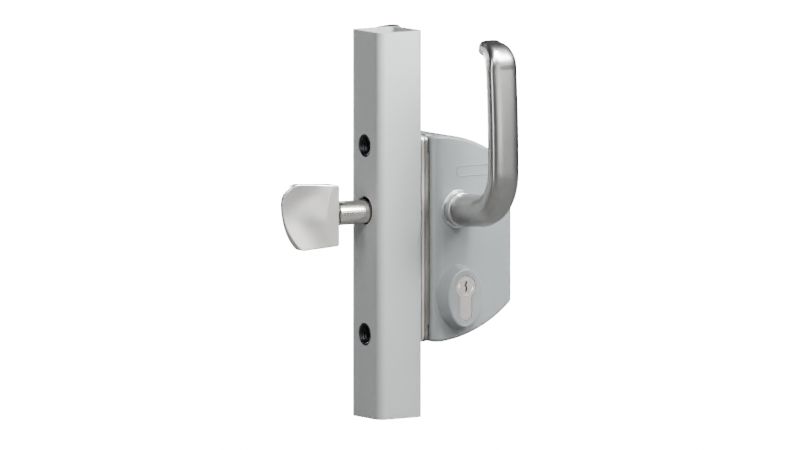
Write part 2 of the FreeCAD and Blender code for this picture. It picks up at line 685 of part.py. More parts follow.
def handle_bush():
    """The front bush that the follower's hub turns in, in the lid."""
    body = rod_y(HUB_BUSH_RADIUS, -CASE_HALF_WIDTH, -CASE_INNER, SPINDLE_X, BOLT_AXIS_Z)
    flange_y = -CASE_HALF_WIDTH - HUB_BUSH_FLANGE
    flange = rod_y(HUB_BUSH_FLANGE_RADIUS, flange_y, -CASE_HALF_WIDTH, SPINDLE_X, BOLT_AXIS_Z)
    bore = rod_y(HUB_RADIUS + RUNNING_GAP, flange_y, -CASE_INNER, SPINDLE_X, BOLT_AXIS_Z)
    return joined(body, flange).cut(bore)


def lever_spine():
    """The handle's middle line: its edges, and the stations between them."""
    out, rise, heading = HANDLE_NECK_START, 0.0, math.radians(HANDLE_NECK_RISE_DEG)
    stations = [(out, rise, heading)]
    edges = []

    def advance(length):
        nonlocal out, rise
        out += length * math.cos(heading)
        rise += length * math.sin(heading)
        return Vector(SPINDLE_X, -out, BOLT_AXIS_Z + rise)

    def straight(length):
        start = advance(0)
        edges.append(Part.LineSegment(start, advance(length)).toShape())
        stations.append((out, rise, heading))

    def turn(radius, angle):
        nonlocal heading
        points = [advance(0)]
        for _ in range(2):
            heading += angle / 4
            points.append(advance(2 * radius * math.sin(angle / 4)))
            heading += angle / 4
        edges.append(Part.Arc(*points).toShape())
        stations.append((out, rise, heading))

    straight(HANDLE_NECK_LENGTH)
    turn(HANDLE_BEND_RADIUS, math.pi / 2 - heading)
    turn(HANDLE_GRIP_CURVE_RADIUS, HANDLE_GRIP_LENGTH / HANDLE_GRIP_CURVE_RADIUS)
    turn(HANDLE_CURL_RADIUS, math.radians(HANDLE_CURL_DEG))
    straight(HANDLE_TIP_LENGTH)
    straight(HANDLE_TIP_BEVEL)
    return edges, stations


def lever_section(station, half_width, half_depth, squareness):
    """A rounded section across the handle's middle line; squareness 0 is an ellipse."""
    out, rise, heading = station
    up = Vector(0, math.sin(heading), math.cos(heading))
    centre = Vector(SPINDLE_X, -out, BOLT_AXIS_Z + rise)
    corner = math.sqrt(0.5) + (1 - math.sqrt(0.5)) * squareness

    def at(place):
        return centre + ALONG_X * (place[0] * half_width) + up * (place[1] * half_depth)

    def way_round(place):
        return ALONG_X * -place[1] + up * place[0]

    sides = [(1, 0), (0, 1), (-1, 0), (0, -1)]
    edges = []
    for index, side in enumerate(sides):
        following = sides[(index + 1) % len(sides)]
        middle = (corner * (side[0] + following[0]), corner * (side[1] + following[1]))
        places = (side, middle, following)
        curve = Part.BSplineCurve()
        curve.interpolate(Points=[at(place) for place in places],
                          Tangents=[way_round(place) for place in places], TangentFlags=[True, False, True])
        edges.append(curve.toShape())
    return Part.Wire(edges)


def lever_forms():
    """Half width, half depth and squareness of the handle's section at each station."""
    neck = (HANDLE_NECK_RADIUS, HANDLE_NECK_RADIUS, 0.0)
    grip = (HANDLE_GRIP_HALF_WIDTH, HANDLE_GRIP_HALF_DEPTH, HANDLE_SQUARENESS)
    tip = (HANDLE_TIP_HALF_WIDTH, HANDLE_TIP_HALF_DEPTH, HANDLE_SQUARENESS)
    end_width = HANDLE_TIP_HALF_WIDTH - HANDLE_TIP_BEVEL
    end_depth = HANDLE_TIP_HALF_DEPTH - HANDLE_TIP_BEVEL
    return [neck, neck, grip, grip, tip, tip, (end_width, end_depth, HANDLE_SQUARENESS)]


def lever_body():
    """The bent grip from its round neck to its curled and bevelled tip."""
    edges, stations = lever_spine()
    sections = [lever_section(station, *form) for station, form in zip(stations, lever_forms())]
    spans = []
    for index, edge in enumerate(edges):
        sweep = Part.BRepOffsetAPI.MakePipeShell(Part.Wire([edge]))
        sweep.setBiNormalMode(ALONG_X)
        sweep.add(sections[index], False, False)
        sweep.add(sections[index + 1], False, False)
        sweep.build()
        sweep.makeSolid()
        spans.append(sweep.shape())
    return joined(*spans)


def spindle_socket(y0, y1):
    half = SPINDLE_SIDE / 2 + SPINDLE_CLEARANCE
    return block(SPINDLE_X - half, SPINDLE_X + half, y0, y1, BOLT_AXIS_Z - half, BOLT_AXIS_Z + half)


def front_handle():
    lever = lever_body()
    journal_end = -HANDLE_NECK_START - HANDLE_JOURNAL_OVERLAP
    journal = rod_y(HANDLE_JOURNAL_RADIUS, journal_end, -HANDLE_JOURNAL_START, SPINDLE_X, BOLT_AXIS_Z)
    handle = joined(lever, journal)
    socket = spindle_socket(-SPINDLE_HALF_LENGTH - SPINDLE_CLEARANCE, -HANDLE_JOURNAL_START)
    grub_hole = rod_z(GRUB_RADIUS + THREAD_GAP, BOLT_AXIS_Z - 2 * HANDLE_NECK_RADIUS,
                      BOLT_AXIS_Z, SPINDLE_X, -GRUB_OUT)
    return without(handle, socket, grub_hole)


def grub_screw():
    bottom = BOLT_AXIS_Z - HANDLE_NECK_RADIUS + GRUB_SETBACK
    return rod_z(GRUB_RADIUS, bottom, BOLT_AXIS_Z - SPINDLE_SIDE / 2, SPINDLE_X, -GRUB_OUT)


def spindle():
    half = SPINDLE_SIDE / 2
    return block(SPINDLE_X - half, SPINDLE_X + half, -SPINDLE_HALF_LENGTH, SPINDLE_HALF_LENGTH,
                 BOLT_AXIS_Z - half, BOLT_AXIS_Z + half)


def gear(teeth, width):
    """A spur gear about Z, from z = 0 up, with one tooth centred on the +X side."""
    pitch_radius = GEAR_MODULE * teeth / 2
    alpha = math.radians(PRESSURE_ANGLE_DEG)
    base_radius = pitch_radius * math.cos(alpha)
    tip_radius = pitch_radius + ADDENDUM
    root_radius = pitch_radius - DEDENDUM
    tooth_half_angle = (GEAR_PITCH / 2 - BACKLASH) / (2 * pitch_radius)

    def flank_angle(radius):
        pressure = math.acos(min(1, base_radius / radius))
        return tooth_half_angle + math.tan(alpha) - alpha - math.tan(pressure) + pressure

    def point(radius, angle):
        return Vector(radius * math.cos(angle), radius * math.sin(angle), 0)

    start_radius = max(base_radius, root_radius)
    middle_radius = (start_radius + tip_radius) / 2
    edges = []
    for index in range(teeth):
        centre = 2 * math.pi * index / teeth
        following = centre + 2 * math.pi / teeth
        low, mid, high = [flank_angle(radius) for radius in (start_radius, middle_radius, tip_radius)]
        root_in = point(root_radius, centre - low)
        foot_in = point(start_radius, centre - low)
        tip_in = point(tip_radius, centre - high)
        tip_out = point(tip_radius, centre + high)
        foot_out = point(start_radius, centre + low)
        root_out = point(root_radius, centre + low)
        next_root = point(root_radius, following - low)
        edges.append(Part.LineSegment(root_in, foot_in))
        edges.append(Part.Arc(foot_in, point(middle_radius, centre - mid), tip_in))
        edges.append(Part.Arc(tip_in, point(tip_radius, centre), tip_out))
        edges.append(Part.Arc(tip_out, point(middle_radius, centre + mid), foot_out))
        edges.append(Part.LineSegment(foot_out, root_out))
        edges.append(Part.Arc(root_out, point(root_radius, (centre + following) / 2), next_root))
    outline = Part.Wire([edge.toShape() for edge in edges])
    return Part.Face(outline).extrude(Vector(0, 0, width))


def follower():
    """The hub that the spindle turns, with the gear that drives the rack."""
    hub_half = CASE_HALF_WIDTH + HUB_BUSH_FLANGE + HUB_OVERHANG
    hub = rod_y(HUB_RADIUS, -hub_half, hub_half, SPINDLE_X, BOLT_AXIS_Z)
    wheel = gear(FOLLOWER_TEETH, FOLLOWER_GEAR_WIDTH)
    wheel.rotate(Vector(0, 0, 0), ALONG_Z, 180)
    wheel.rotate(Vector(0, 0, 0), ALONG_X, -90)
    wheel.translate(Vector(SPINDLE_X, RACK_Y0 + GEAR_SIDE_GAP, BOLT_AXIS_Z))
    return joined(hub, wheel).cut(spindle_socket(-hub_half, hub_half))


# Rack drive

def tooth_row():
    """Rack teeth side by side, as points (reach from the root line, height)."""
    slope = math.tan(math.radians(PRESSURE_ANGLE_DEG))
    root_half = GEAR_PITCH / 4 + DEDENDUM * slope
    tip_half = GEAR_PITCH / 4 - ADDENDUM * slope
    reach = DEDENDUM + ADDENDUM
    rows = []
    for index in range(-RACK_TEETH_BELOW, RACK_TEETH_ABOVE):
        centre = BOLT_AXIS_Z + (index + 0.5) * GEAR_PITCH
        rows.append([(0, centre - root_half), (reach, centre - tip_half),
                     (reach, centre + tip_half), (0, centre + root_half)])
    return rows


def rack():
    """The bar that the follower lifts; its second row of teeth turns the bolt."""
    bar = block(RACK_X0, RACK_X1, RACK_Y0, RACK_Y1, RACK_BOTTOM_Z, RACK_TOP_Z)
    head = block(RACK_X0, RACK_HEAD_X1, RACK_HEAD_Y0, RACK_Y1, RACK_HEAD_Z, RACK_TOP_Z)
    pieces = [head]
    for tooth in tooth_row():
        foot_low, tip_low, tip_high, foot_high = tooth
        heights = [foot_low[1], foot_low[1], tip_low[1], tip_high[1], foot_high[1], foot_high[1]]
        reaches = [-RACK_TOOTH_ROOTING, 0, tip_low[0], tip_high[0], 0, -RACK_TOOTH_ROOTING]
        side = [Vector(RACK_X1 + reach, RACK_Y0, z) for reach, z in zip(reaches, heights)]
        side.append(side[0])
        pieces.append(Part.Face(Part.makePolygon(side)).extrude(Vector(0, RACK_Y1 - RACK_Y0, 0)))
        front = [Vector(RACK_X0, RACK_Y0 - reach, z) for reach, z in zip(reaches, heights)]
        front.append(front[0])
        pieces.append(Part.Face(Part.makePolygon(front)).extrude(Vector(RACK_X1 - RACK_X0, 0, 0)))
    notch_depth = SLIDE_ENGAGEMENT + GUIDE_GAP
    notch = block(RACK_X1 - notch_depth, RACK_X1, RACK_Y0, RACK_Y1,
                  SLIDE_Z0 - GUIDE_GAP, SLIDE_Z1 + GUIDE_GAP)
    return joined(bar, *pieces).cut(notch)


def rack_guides():
    """A closed guide round the rack's tail and an open rail beside its head."""
    x1 = RACK_X1 + GUIDE_GAP + GUIDE_WALL
    y0 = RACK_Y0 - GUIDE_GAP - GUIDE_WALL
    lower = block(END_X1, x1, y0, CASE_INNER, LOWER_GUIDE_Z0, LOWER_GUIDE_Z1)
    channel = block(RACK_X0 - GUIDE_GAP, RACK_X1 + GUIDE_GAP, RACK_Y0 - GUIDE_GAP, CASE_INNER,
                    LOWER_GUIDE_Z0, LOWER_GUIDE_Z1)
    upper = block(END_X1, RACK_X0 - GUIDE_GAP, RACK_HEAD_Y0, CASE_INNER,
                  RACK_HEAD_Z, RACK_HEAD_Z + UPPER_GUIDE_HEIGHT)
    return group([lower.cut(channel), upper])


def return_spring():
    """A compression spring between the rack's head and the top of the case."""
    bottom = RACK_TOP_Z + SPRING_WIRE_RADIUS + SPRING_END_GAP
    height = CASE_CEILING_Z - SPRING_WIRE_RADIUS - SPRING_END_GAP - bottom
    helix = Part.makeHelix(height / SPRING_TURNS, height, SPRING_COIL_RADIUS)
    circle = Part.Circle(Vector(SPRING_COIL_RADIUS, 0, 0), ALONG_Y, SPRING_WIRE_RADIUS)
    section = Part.Wire([circle.toShape()])
    coil = Part.Wire(helix.Edges).makePipeShell([section], True, True)
    coil.translate(Vector(SPRING_X, SPRING_Y, bottom))
    return coil


# Bolt

def bolt_bush():
    body = rod_x(BOLT_BUSH_RADIUS, BOLT_BUSH_X0, END_X1, 0, BOLT_AXIS_Z)
    flange = rod_x(BOLT_BUSH_FLANGE_RADIUS, END_X1, BOLT_BUSH_X1, 0, BOLT_AXIS_Z)
    bore = rod_x(BOLT_ROD_RADIUS + RUNNING_GAP, BOLT_BUSH_X0, BOLT_BUSH_X1, 0, BOLT_AXIS_Z)
    return joined(body, flange).cut(bore)


def bolt_tang(side, x0, x1):
    half = side / 2
    return block(x0, x1, -half, half, BOLT_AXIS_Z - half, BOLT_AXIS_Z + half)


def bolt_rod():
    rod = rod_x(BOLT_ROD_RADIUS, ROD_X0, BOLT_BUSH_X1, 0, BOLT_AXIS_Z)
    collar = rod_x(BOLT_COLLAR_RADIUS, BOLT_BUSH_X1, BOLT_PINION_X0, 0, BOLT_AXIS_Z)
    tenon = rod_x(TENON_RADIUS, HEAD_X1 - TENON_LENGTH, ROD_X0, 0, BOLT_AXIS_Z)
    tang = bolt_tang(BOLT_TANG_SIDE, BOLT_PINION_X0, BOLT_PINION_X1)
    thread = rod_x(BOLT_THREAD_RADIUS, BOLT_PINION_X1, BOLT_END_X, 0, BOLT_AXIS_Z)
    groove_x1 = BOLT_BUSH_X0 - CIRCLIP_GAP
    groove_x0 = groove_x1 - CIRCLIP_THICKNESS
    groove = rod_x(BOLT_ROD_RADIUS, groove_x0, groove_x1, 0, BOLT_AXIS_Z)
    groove = groove.cut(rod_x(CIRCLIP_GROOVE_RADIUS, groove_x0, groove_x1, 0, BOLT_AXIS_Z))
    rod = joined(rod, collar, tenon, tang, thread)
    return without(rod, groove, head_pin())


def bolt_circlip():
    x1 = BOLT_BUSH_X0 - CIRCLIP_GAP
    x0 = x1 - CIRCLIP_THICKNESS
    ring = rod_x(CIRCLIP_RADIUS, x0, x1, 0, BOLT_AXIS_Z)
    return ring.cut(rod_x(CIRCLIP_GROOVE_RADIUS, x0, x1, 0, BOLT_AXIS_Z))


def bolt_pinion():
    wheel = gear(BOLT_PINION_TEETH, BOLT_PINION_WIDTH)
    wheel.rotate(Vector(0, 0, 0), ALONG_Y, 90)
    wheel.rotate(Vector(0, 0, 0), ALONG_X, -90)
    wheel.translate(Vector(BOLT_PINION_X0, 0, BOLT_AXIS_Z))
    return wheel.cut(bolt_tang(BOLT_TANG_SIDE + 2 * BOLT_TANG_CLEARANCE, BOLT_PINION_X0, BOLT_PINION_X1))


def bolt_nut():
    x1 = BOLT_PINION_X1 + BOLT_NUT_THICKNESS
    nut = hexagon_x(BOLT_NUT_RADIUS, BOLT_PINION_X1, x1, 0, BOLT_AXIS_Z)
    return nut.cut(rod_x(BOLT_THREAD_RADIUS + THREAD_GAP, BOLT_PINION_X1, x1, 0, BOLT_AXIS_Z))


def head_pin():
    return rod_y(HEAD_PIN_RADIUS, -HEAD_HALF_THICKNESS + HEAD_PIN_BLIND, HEAD_HALF_THICKNESS,
                 HEAD_X1 - HEAD_PIN_SETBACK, BOLT_AXIS_Z)


def head_outline():
    """The bolt head's side outline: a broad blade with a nose above its middle."""
    def at(back, rise):
        return Vector(HEAD_X1 - back, -HEAD_HALF_THICKNESS, BOLT_AXIS_Z + rise)

    def bulged(start, end, bulge):
        middle = (start + end) * 0.5
        chord = end.sub(start)
        outward = Vector(chord.z, 0, -chord.x).normalize()
        return Part.Arc(start, middle + outward * bulge, end)

    top_back = at(0, HEAD_HALF_HEIGHT)
    top_nose = at(HEAD_TOP_LENGTH, HEAD_HALF_HEIGHT + HEAD_FLARE)
    apex = at(HEAD_LENGTH, HEAD_APEX_RISE)
    bottom_nose = at(HEAD_BOTTOM_LENGTH, -HEAD_FOOT - HEAD_FLARE)
    bottom_back = at(0, -HEAD_FOOT)
    parts = [Part.LineSegment(bottom_back, top_back), Part.LineSegment(top_back, top_nose)]
    parts.append(bulged(top_nose, apex, HEAD_UPPER_BULGE))
    parts.append(bulged(apex, bottom_nose, HEAD_LOWER_BULGE))
    parts.append(Part.LineSegment(bottom_nose, bottom_back))
    return Part.Wire([part.toShape() for part in parts])


def head_scoop():
    """The hollow ground into the head's front face, deepest at its leading edge."""
    angle = math.radians(HEAD_SCOOP_DEG)
    slant = Vector(math.cos(angle), 0, math.sin(angle))
    centre = Vector(HEAD_X1 - HEAD_LENGTH, -HEAD_HALF_THICKNESS + HEAD_SCOOP_DEPTH - HEAD_SCOOP_RADIUS,
                    BOLT_AXIS_Z + HEAD_APEX_RISE)
    length = 4 * HEAD_HALF_HEIGHT
    return Part.makeCylinder(HEAD_SCOOP_RADIUS, length, centre - slant * (length / 2), slant)


def bolt_head():
    head = Part.Face(head_outline()).extrude(Vector(0, 2 * HEAD_HALF_THICKNESS, 0))

    def at_lower_nose(edge):
        place = edge.CenterOfMass
        return is_along(edge, ALONG_Y) and abs(place.x - HEAD_X1 + HEAD_BOTTOM_LENGTH) < NEARNESS

    def at_back(edge):
        return is_along(edge, ALONG_Y) and abs(edge.CenterOfMass.x - HEAD_X1) < NEARNESS

    head = head.makeFillet(HEAD_CORNER, edges_where(head, at_lower_nose))
    head = head.makeFillet(HEAD_BACK_CORNER, edges_where(head, at_back))
    scoop = head_scoop()
    socket = rod_x(TENON_RADIUS + THREAD_GAP, HEAD_X1 - TENON_LENGTH, HEAD_X1, 0, BOLT_AXIS_Z)
    return without(head, scoop, mirrored(scoop), socket, head_pin())


# Lock cylinder

def euro_profile(grow, y0, y1):
    """A bar of the lock cylinder's section, larger all round by the given amount."""
    half = CYLINDER_LEG_WIDTH / 2 + grow
    bottom = PLUG_Z + CYLINDER_RADIUS - CYLINDER_HEIGHT
    circle = rod_y(CYLINDER_RADIUS + grow, y0, y1, SPINDLE_X, PLUG_Z)
    leg_centre = bottom + CYLINDER_LEG_WIDTH / 2
    leg = block(SPINDLE_X - half, SPINDLE_X + half, y0, y1, leg_centre, PLUG_Z)
    foot = rod_y(half, y0, y1, SPINDLE_X, leg_centre)
    return joined(circle, leg, foot)


def pin_places():
    return [PIN_FIRST + index * PIN_PITCH for index in range(PIN_COUNT)]


def chamber_floor():
    return PLUG_Z + CYLINDER_RADIUS - CYLINDER_HEIGHT + PIN_CHAMBER_END


def cylinder_body():
    body = euro_profile(0, -CYLINDER_HALF_LENGTH, CYLINDER_HALF_LENGTH)
    bore = rod_y(PLUG_RADIUS + RUNNING_GAP, -CYLINDER_HALF_LENGTH, CYLINDER_HALF_LENGTH, SPINDLE_X, PLUG_Z)
    slot_floor = PLUG_Z - CAM_TIP_RADIUS - CAM_SLOT_CLEARANCE
    slot = block(SPINDLE_X - CYLINDER_RADIUS, SPINDLE_X + CYLINDER_RADIUS, -CAM_HALF_WIDTH, CAM_HALF_WIDTH,
                 slot_floor, PLUG_Z + CYLINDER_RADIUS)
    screw_x0 = SPINDLE_X - CYLINDER_LEG_WIDTH
    screw_hole = rod_x(CYLINDER_SCREW_RADIUS + THREAD_GAP, screw_x0, SPINDLE_X + CYLINDER_LEG_WIDTH,
                       0, PLUG_Z - CYLINDER_SCREW_DROP)
    body = without(body, bore, slot, screw_hole)
    for out in pin_places():
        for y in (-out, out):
            body = body.cut(rod_z(PIN_CHAMBER_RADIUS, chamber_floor(), PLUG_Z, SPINDLE_X, y))
    return body


def cylinder_screw():
    z = PLUG_Z - CYLINDER_SCREW_DROP
    head = rod_x(CYLINDER_SCREW_HEAD_RADIUS, END_X0 - CYLINDER_SCREW_HEAD_HEIGHT, END_X0, 0, z)
    shank = rod_x(CYLINDER_SCREW_RADIUS, END_X0, SPINDLE_X + CYLINDER_SCREW_END, 0, z)
    return joined(head, shank)


def keyway(y0, y1):
    """The zig-zag slot for the key, down the plug."""
    heights = [KEYWAY_TOP, KEYWAY_TOP / 3, 0, -KEYWAY_BOTTOM]
    shifts = [KEYWAY_SWING / 2, -KEYWAY_SWING / 2, KEYWAY_SWING / 2, 0]
    half = KEYWAY_WIDTH / 2
    left = [Vector(SPINDLE_X + shift - half, y0, PLUG_Z + z) for shift, z in zip(shifts, heights)]
    right = [Vector(SPINDLE_X + shift + half, y0, PLUG_Z + z) for shift, z in zip(shifts, heights)]
    outline = left + right[::-1] + [left[0]]
    return Part.Face(Part.makePolygon(outline)).extrude(Vector(0, y1 - y0, 0))


def plug():
    """The front plug; the back one is its mirror image."""
    barrel = rod_y(PLUG_RADIUS, -CYLINDER_HALF_LENGTH, -CAM_HALF_WIDTH + CAM_SIDE_GAP, SPINDLE_X, PLUG_Z)
    barrel = barrel.cut(keyway(-CYLINDER_HALF_LENGTH, -CAM_HALF_WIDTH - KEYWAY_END))
    for out in pin_places():
        barrel = barrel.cut(rod_z(PIN_CHAMBER_RADIUS, PLUG_Z - CYLINDER_RADIUS, PLUG_Z, SPINDLE_X, -out))
    return barrel


def key_pins():
    """The pins inside both plugs, from the keyway down to the plug's rim."""
    rim = math.sqrt(PLUG_RADIUS ** 2 - PIN_RADIUS ** 2)
    pins = []
    for index, out in enumerate(pin_places()):
        length = rim - KEYWAY_BOTTOM + KEY_PIN_STEP * (index % KEY_PIN_STEPS)
        for y in (-out, out):
            pins.append(rod_z(PIN_RADIUS, PLUG_Z - rim, PLUG_Z - rim + length, SPINDLE_X, y))
    return group(pins)


def driver_top():
    return PLUG_Z - PLUG_RADIUS - PIN_SHEAR_GAP


def driver_pins():
    pins = []
    for out in pin_places():
        for y in (-out, out):
            pins.append(rod_z(PIN_RADIUS, driver_top() - DRIVER_PIN_LENGTH, driver_top(), SPINDLE_X, y))
    return group(pins)


def pin_springs():
    """Short tubes in the place of the springs under the driver pins."""
    springs = []
    top = driver_top() - DRIVER_PIN_LENGTH
    for out in pin_places():
        for y in (-out, out):
            tube = rod_z(PIN_RADIUS, chamber_floor(), top, SPINDLE_X, y)
            springs.append(tube.cut(rod_z(PIN_RADIUS / 2, chamber_floor(), top, SPINDLE_X, y)))
    return group(springs)


def cylinder_cam():
    """The cam between the two plugs, its nose hanging down at rest."""
    y0, y1 = -CAM_HALF_WIDTH + CAM_SIDE_GAP, CAM_HALF_WIDTH - CAM_SIDE_GAP
    ring = rod_y(CAM_RING_RADIUS, y0, y1, SPINDLE_X, PLUG_Z)
    nose = block(SPINDLE_X - CAM_NOSE_HALF_WIDTH, SPINDLE_X + CAM_NOSE_HALF_WIDTH, y0, y1,
                 PLUG_Z - CAM_TIP_RADIUS, PLUG_Z)
    nose = nose.common(rod_y(CAM_TIP_RADIUS, y0, y1, SPINDLE_X, PLUG_Z))
    return joined(ring, nose)


# Deadlock slide

def deadlock_slide():
    """The plate that the cam pushes towards the notch in the rack's tail."""
    plate = block(SLIDE_X0, SLIDE_X1, SLIDE_Y0, SLIDE_Y1, SLIDE_Z0, SLIDE_Z1)
    lug_x0 = SLIDE_X0 + SLIDE_LUG_START
    lug_z0 = PLUG_Z + CAM_TIP_RADIUS + SLIDE_CAM_GAP
    lug = block(lug_x0, lug_x0 + SLIDE_LUG_LENGTH, -CAM_HALF_WIDTH, SLIDE_Y1,
                lug_z0, lug_z0 + SLIDE_LUG_HEIGHT)
    radius = SLIDE_PIN_RADIUS + SLIDE_PIN_GAP
    slot_x0 = SLIDE_PIN_X
    slot_x1 = SLIDE_PIN_X + SLIDE_PIN_SPACING + SLIDE_TRAVEL + SLIDE_ENGAGEMENT
    slot = block(slot_x0, slot_x1, SLIDE_Y0, SLIDE_Y1, SLIDE_PIN_Z - radius, SLIDE_PIN_Z + radius)
    ends = [rod_y(radius, SLIDE_Y0, SLIDE_Y1, x, SLIDE_PIN_Z) for x in (slot_x0, slot_x1)]
    return without(joined(plate, lug), slot, *ends)


def slide_pin(x):
    """A shouldered pin, riveted in the case wall, that the slide runs on."""
    head_y1 = SLIDE_Y0 - SLIDE_PIN_GAP
    shank = rod_y(SLIDE_PIN_RADIUS, head_y1 - SLIDE_PIN_HEAD, CASE_HALF_WIDTH, x, SLIDE_PIN_Z)
    head = rod_y(SLIDE_PIN_HEAD_RADIUS, head_y1 - SLIDE_PIN_HEAD, head_y1, x, SLIDE_PIN_Z)
    shoulder = rod_y(SLIDE_PIN_HEAD_RADIUS, SLIDE_Y1 + SLIDE_PIN_GAP, CASE_INNER, x, SLIDE_PIN_Z)
    return joined(shank, head, shoulder)


def build():
    rose = handle_rose()
    bush = handle_bush()
    handle = front_handle()
    grub = grub_screw()
    front_plug = plug()
    return {
        "gate_upright": gate_upright(),
        "fixing_sleeves": group([fixing_sleeve(z) for z in FIXING_Z]),
        "fixing_bolts": group([fixing_bolt(z) for z in FIXING_Z]),
        "fixing_nuts": group([fixing_nut(z) for z in FIXING_Z]),
        "mounting_plate": mounting_plate(),
        "gasket": gasket(),
        "case_body": case_body(),
        "case_lid": case_lid(),
        "case_spacers": group([case_spacer(x, z) for x, z in spacer_places()]),
        "case_screws": case_screws(),
        "front_cover": front_cover(),
        "back_cover": back_cover(),
        "cover_screws": group([cover_screw(x, z) for x, z in post_places()]),
        "front_rose": rose,
        "back_rose": mirrored(rose),
        "front_hub_bush": bush,
        "back_hub_bush": mirrored(bush),
        "front_handle": handle,
        "back_handle": mirrored(handle),
        "handle_grub_screws": group([grub, mirrored(grub)]),
        "spindle": spindle(),
        "follower": follower(),
        "rack": rack(),
        "rack_guides": rack_guides(),
        "return_spring": return_spring(),
        "bolt_bush": bolt_bush(),
        "bolt_rod": bolt_rod(),
        "bolt_circlip": bolt_circlip(),
        "bolt_pinion": bolt_pinion(),
        "bolt_nut": bolt_nut(),
        "bolt_head": bolt_head(),
        "head_pin": head_pin(),
        "cylinder_body": cylinder_body(),
        "cylinder_screw": cylinder_screw(),
        "front_plug": front_plug,
        "back_plug": mirrored(front_plug),
        "key_pins": key_pins(),
        "driver_pins": driver_pins(),
        "pin_springs": pin_springs(),
        "cylinder_cam": cylinder_cam(),
        "deadlock_slide": deadlock_slide(),
        "slide_pins": group([slide_pin(x) for x in slide_pin_places()]),
    }


os.makedirs("parts", exist_ok=True)
for name, shape in build().items():
    print(name, len(shape.Solids), round(shape.Volume, 1), shape.isValid())
    shape.exportStep("parts/" + name + ".step")
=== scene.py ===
"""Looks of the sliding gate lock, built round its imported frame.

The scene is in metres, and the object's sizes below are in millimetres. +X runs along the gate
from the bolt head to the lock case, +Y from the gate's front to its back, +Z up. The origin is
the middle of the upright's lower end.
"""
import json
import math

import bmesh
import bpy
from mathutils import Matrix, Vector


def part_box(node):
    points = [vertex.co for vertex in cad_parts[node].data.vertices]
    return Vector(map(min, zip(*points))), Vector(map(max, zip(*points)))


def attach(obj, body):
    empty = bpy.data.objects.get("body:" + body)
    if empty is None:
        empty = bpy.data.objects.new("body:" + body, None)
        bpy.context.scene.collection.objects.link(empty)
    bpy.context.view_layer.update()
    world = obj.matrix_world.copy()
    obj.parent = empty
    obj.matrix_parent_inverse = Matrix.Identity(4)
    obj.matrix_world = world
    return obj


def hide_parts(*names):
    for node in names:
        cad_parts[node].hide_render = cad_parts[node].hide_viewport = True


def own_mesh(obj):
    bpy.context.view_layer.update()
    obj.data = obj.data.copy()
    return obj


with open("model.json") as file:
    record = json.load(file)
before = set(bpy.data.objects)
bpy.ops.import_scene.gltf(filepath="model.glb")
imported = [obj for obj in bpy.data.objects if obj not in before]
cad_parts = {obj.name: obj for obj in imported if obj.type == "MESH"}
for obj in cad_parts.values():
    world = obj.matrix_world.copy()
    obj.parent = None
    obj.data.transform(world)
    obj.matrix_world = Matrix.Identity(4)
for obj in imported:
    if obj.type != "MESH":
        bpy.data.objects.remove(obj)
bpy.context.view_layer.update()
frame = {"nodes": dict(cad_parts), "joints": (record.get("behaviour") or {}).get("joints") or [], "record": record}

MM = 0.001
ALONG = Vector((1.0, 0.0, 0.0))
BACK = Vector((0.0, 1.0, 0.0))
UP = Vector((0.0, 0.0, 1.0))


def frame_box(node):
    """The low and the high corner of a node's box in the frame, in millimetres."""
    low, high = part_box(node)
    return low / MM, high / MM


# Camera: the photograph's view
IMAGE_WIDTH_PX = 800
VIEW_AZIMUTH_DEG = -33.5
VIEW_ELEVATION_DEG = 6.5
PX_PER_MM = 1.340
FOCAL_PX = 20000.0
SENSOR_MM = 36.0
VIEW_CENTRE = Vector((11.7, 0.0, 142.8)) * MM
CAMERA_REACH = 100.0

# Studio, in metres
BACKDROP_LEVEL = 18.0
SKY_LEVEL = 0.02
HORIZON_LEVEL = 0.03
GROUND_LEVEL = 0.03
HORIZON_STOP = 0.5  # share of the way from the ground's level to the sky's
FLOOR_SIZE = 6.0
FLOOR_DROP = 0.001
FLOOR_SHADE = 0.09
FLOOR_ROUGHNESS = 0.9

# Light panels: degrees to the right of the camera, degrees up, distance, width, height, watts
PANELS = {
    "right_high_panel": (67.0, 34.0, 1.4, 0.5, 0.5, 31.0),
    "right_panel": (67.0, 12.0, 1.5, 0.5, 0.35, 1.6),
    "right_low_panel": (50.0, 2.0, 1.5, 0.5, 0.10, 1.6),
    "strip_panel": (68.0, -7.0, 1.5, 0.1, 0.2, 0.35),
    "front_top_panel": (5.0, 40.0, 1.5, 0.5, 0.5, 20.0),
    "near_panel": (52.0, 56.0, 0.45, 0.12, 0.12, 6.0),
    "near_top_panel": (45.0, 48.0, 0.62, 0.25, 0.25, 2.9),
    "front_right_panel": (32.0, 8.0, 1.6, 0.35, 0.8, 0.9),
    "front_left_panel": (-45.0, 12.0, 1.6, 0.3, 0.9, 12.5),
    "back_left_panel": (-148.0, 12.0, 1.6, 0.5, 1.2, 76.0),
}

# Noise in the materials: scales are per metre, reliefs in metres
NOISE_LOW = 0.3
NOISE_HIGH = 0.7
NOISE_ROUGHNESS = 0.55
PEEL_DETAIL = 3.0
GRAIN_DETAIL = 2.0

# Powder-coated paint
PEEL_SCALE = 900.0
PEEL_BUMP = 0.35
PEEL_RELIEF = 0.00003
SPECKLE_SCALE = 3600.0
SPECKLE_SHADE = 0.94
PAINT_SPREAD = 0.04
PAINT_COAT = 0.15
PAINT_COAT_ROUGHNESS = 0.25
PAINTS = {
    "upright_paint": dict(colour=(0.275, 0.288, 0.288), roughness=0.42),
    "cover_paint": dict(colour=(0.178, 0.192, 0.197), roughness=0.36, coat=0.5),
}

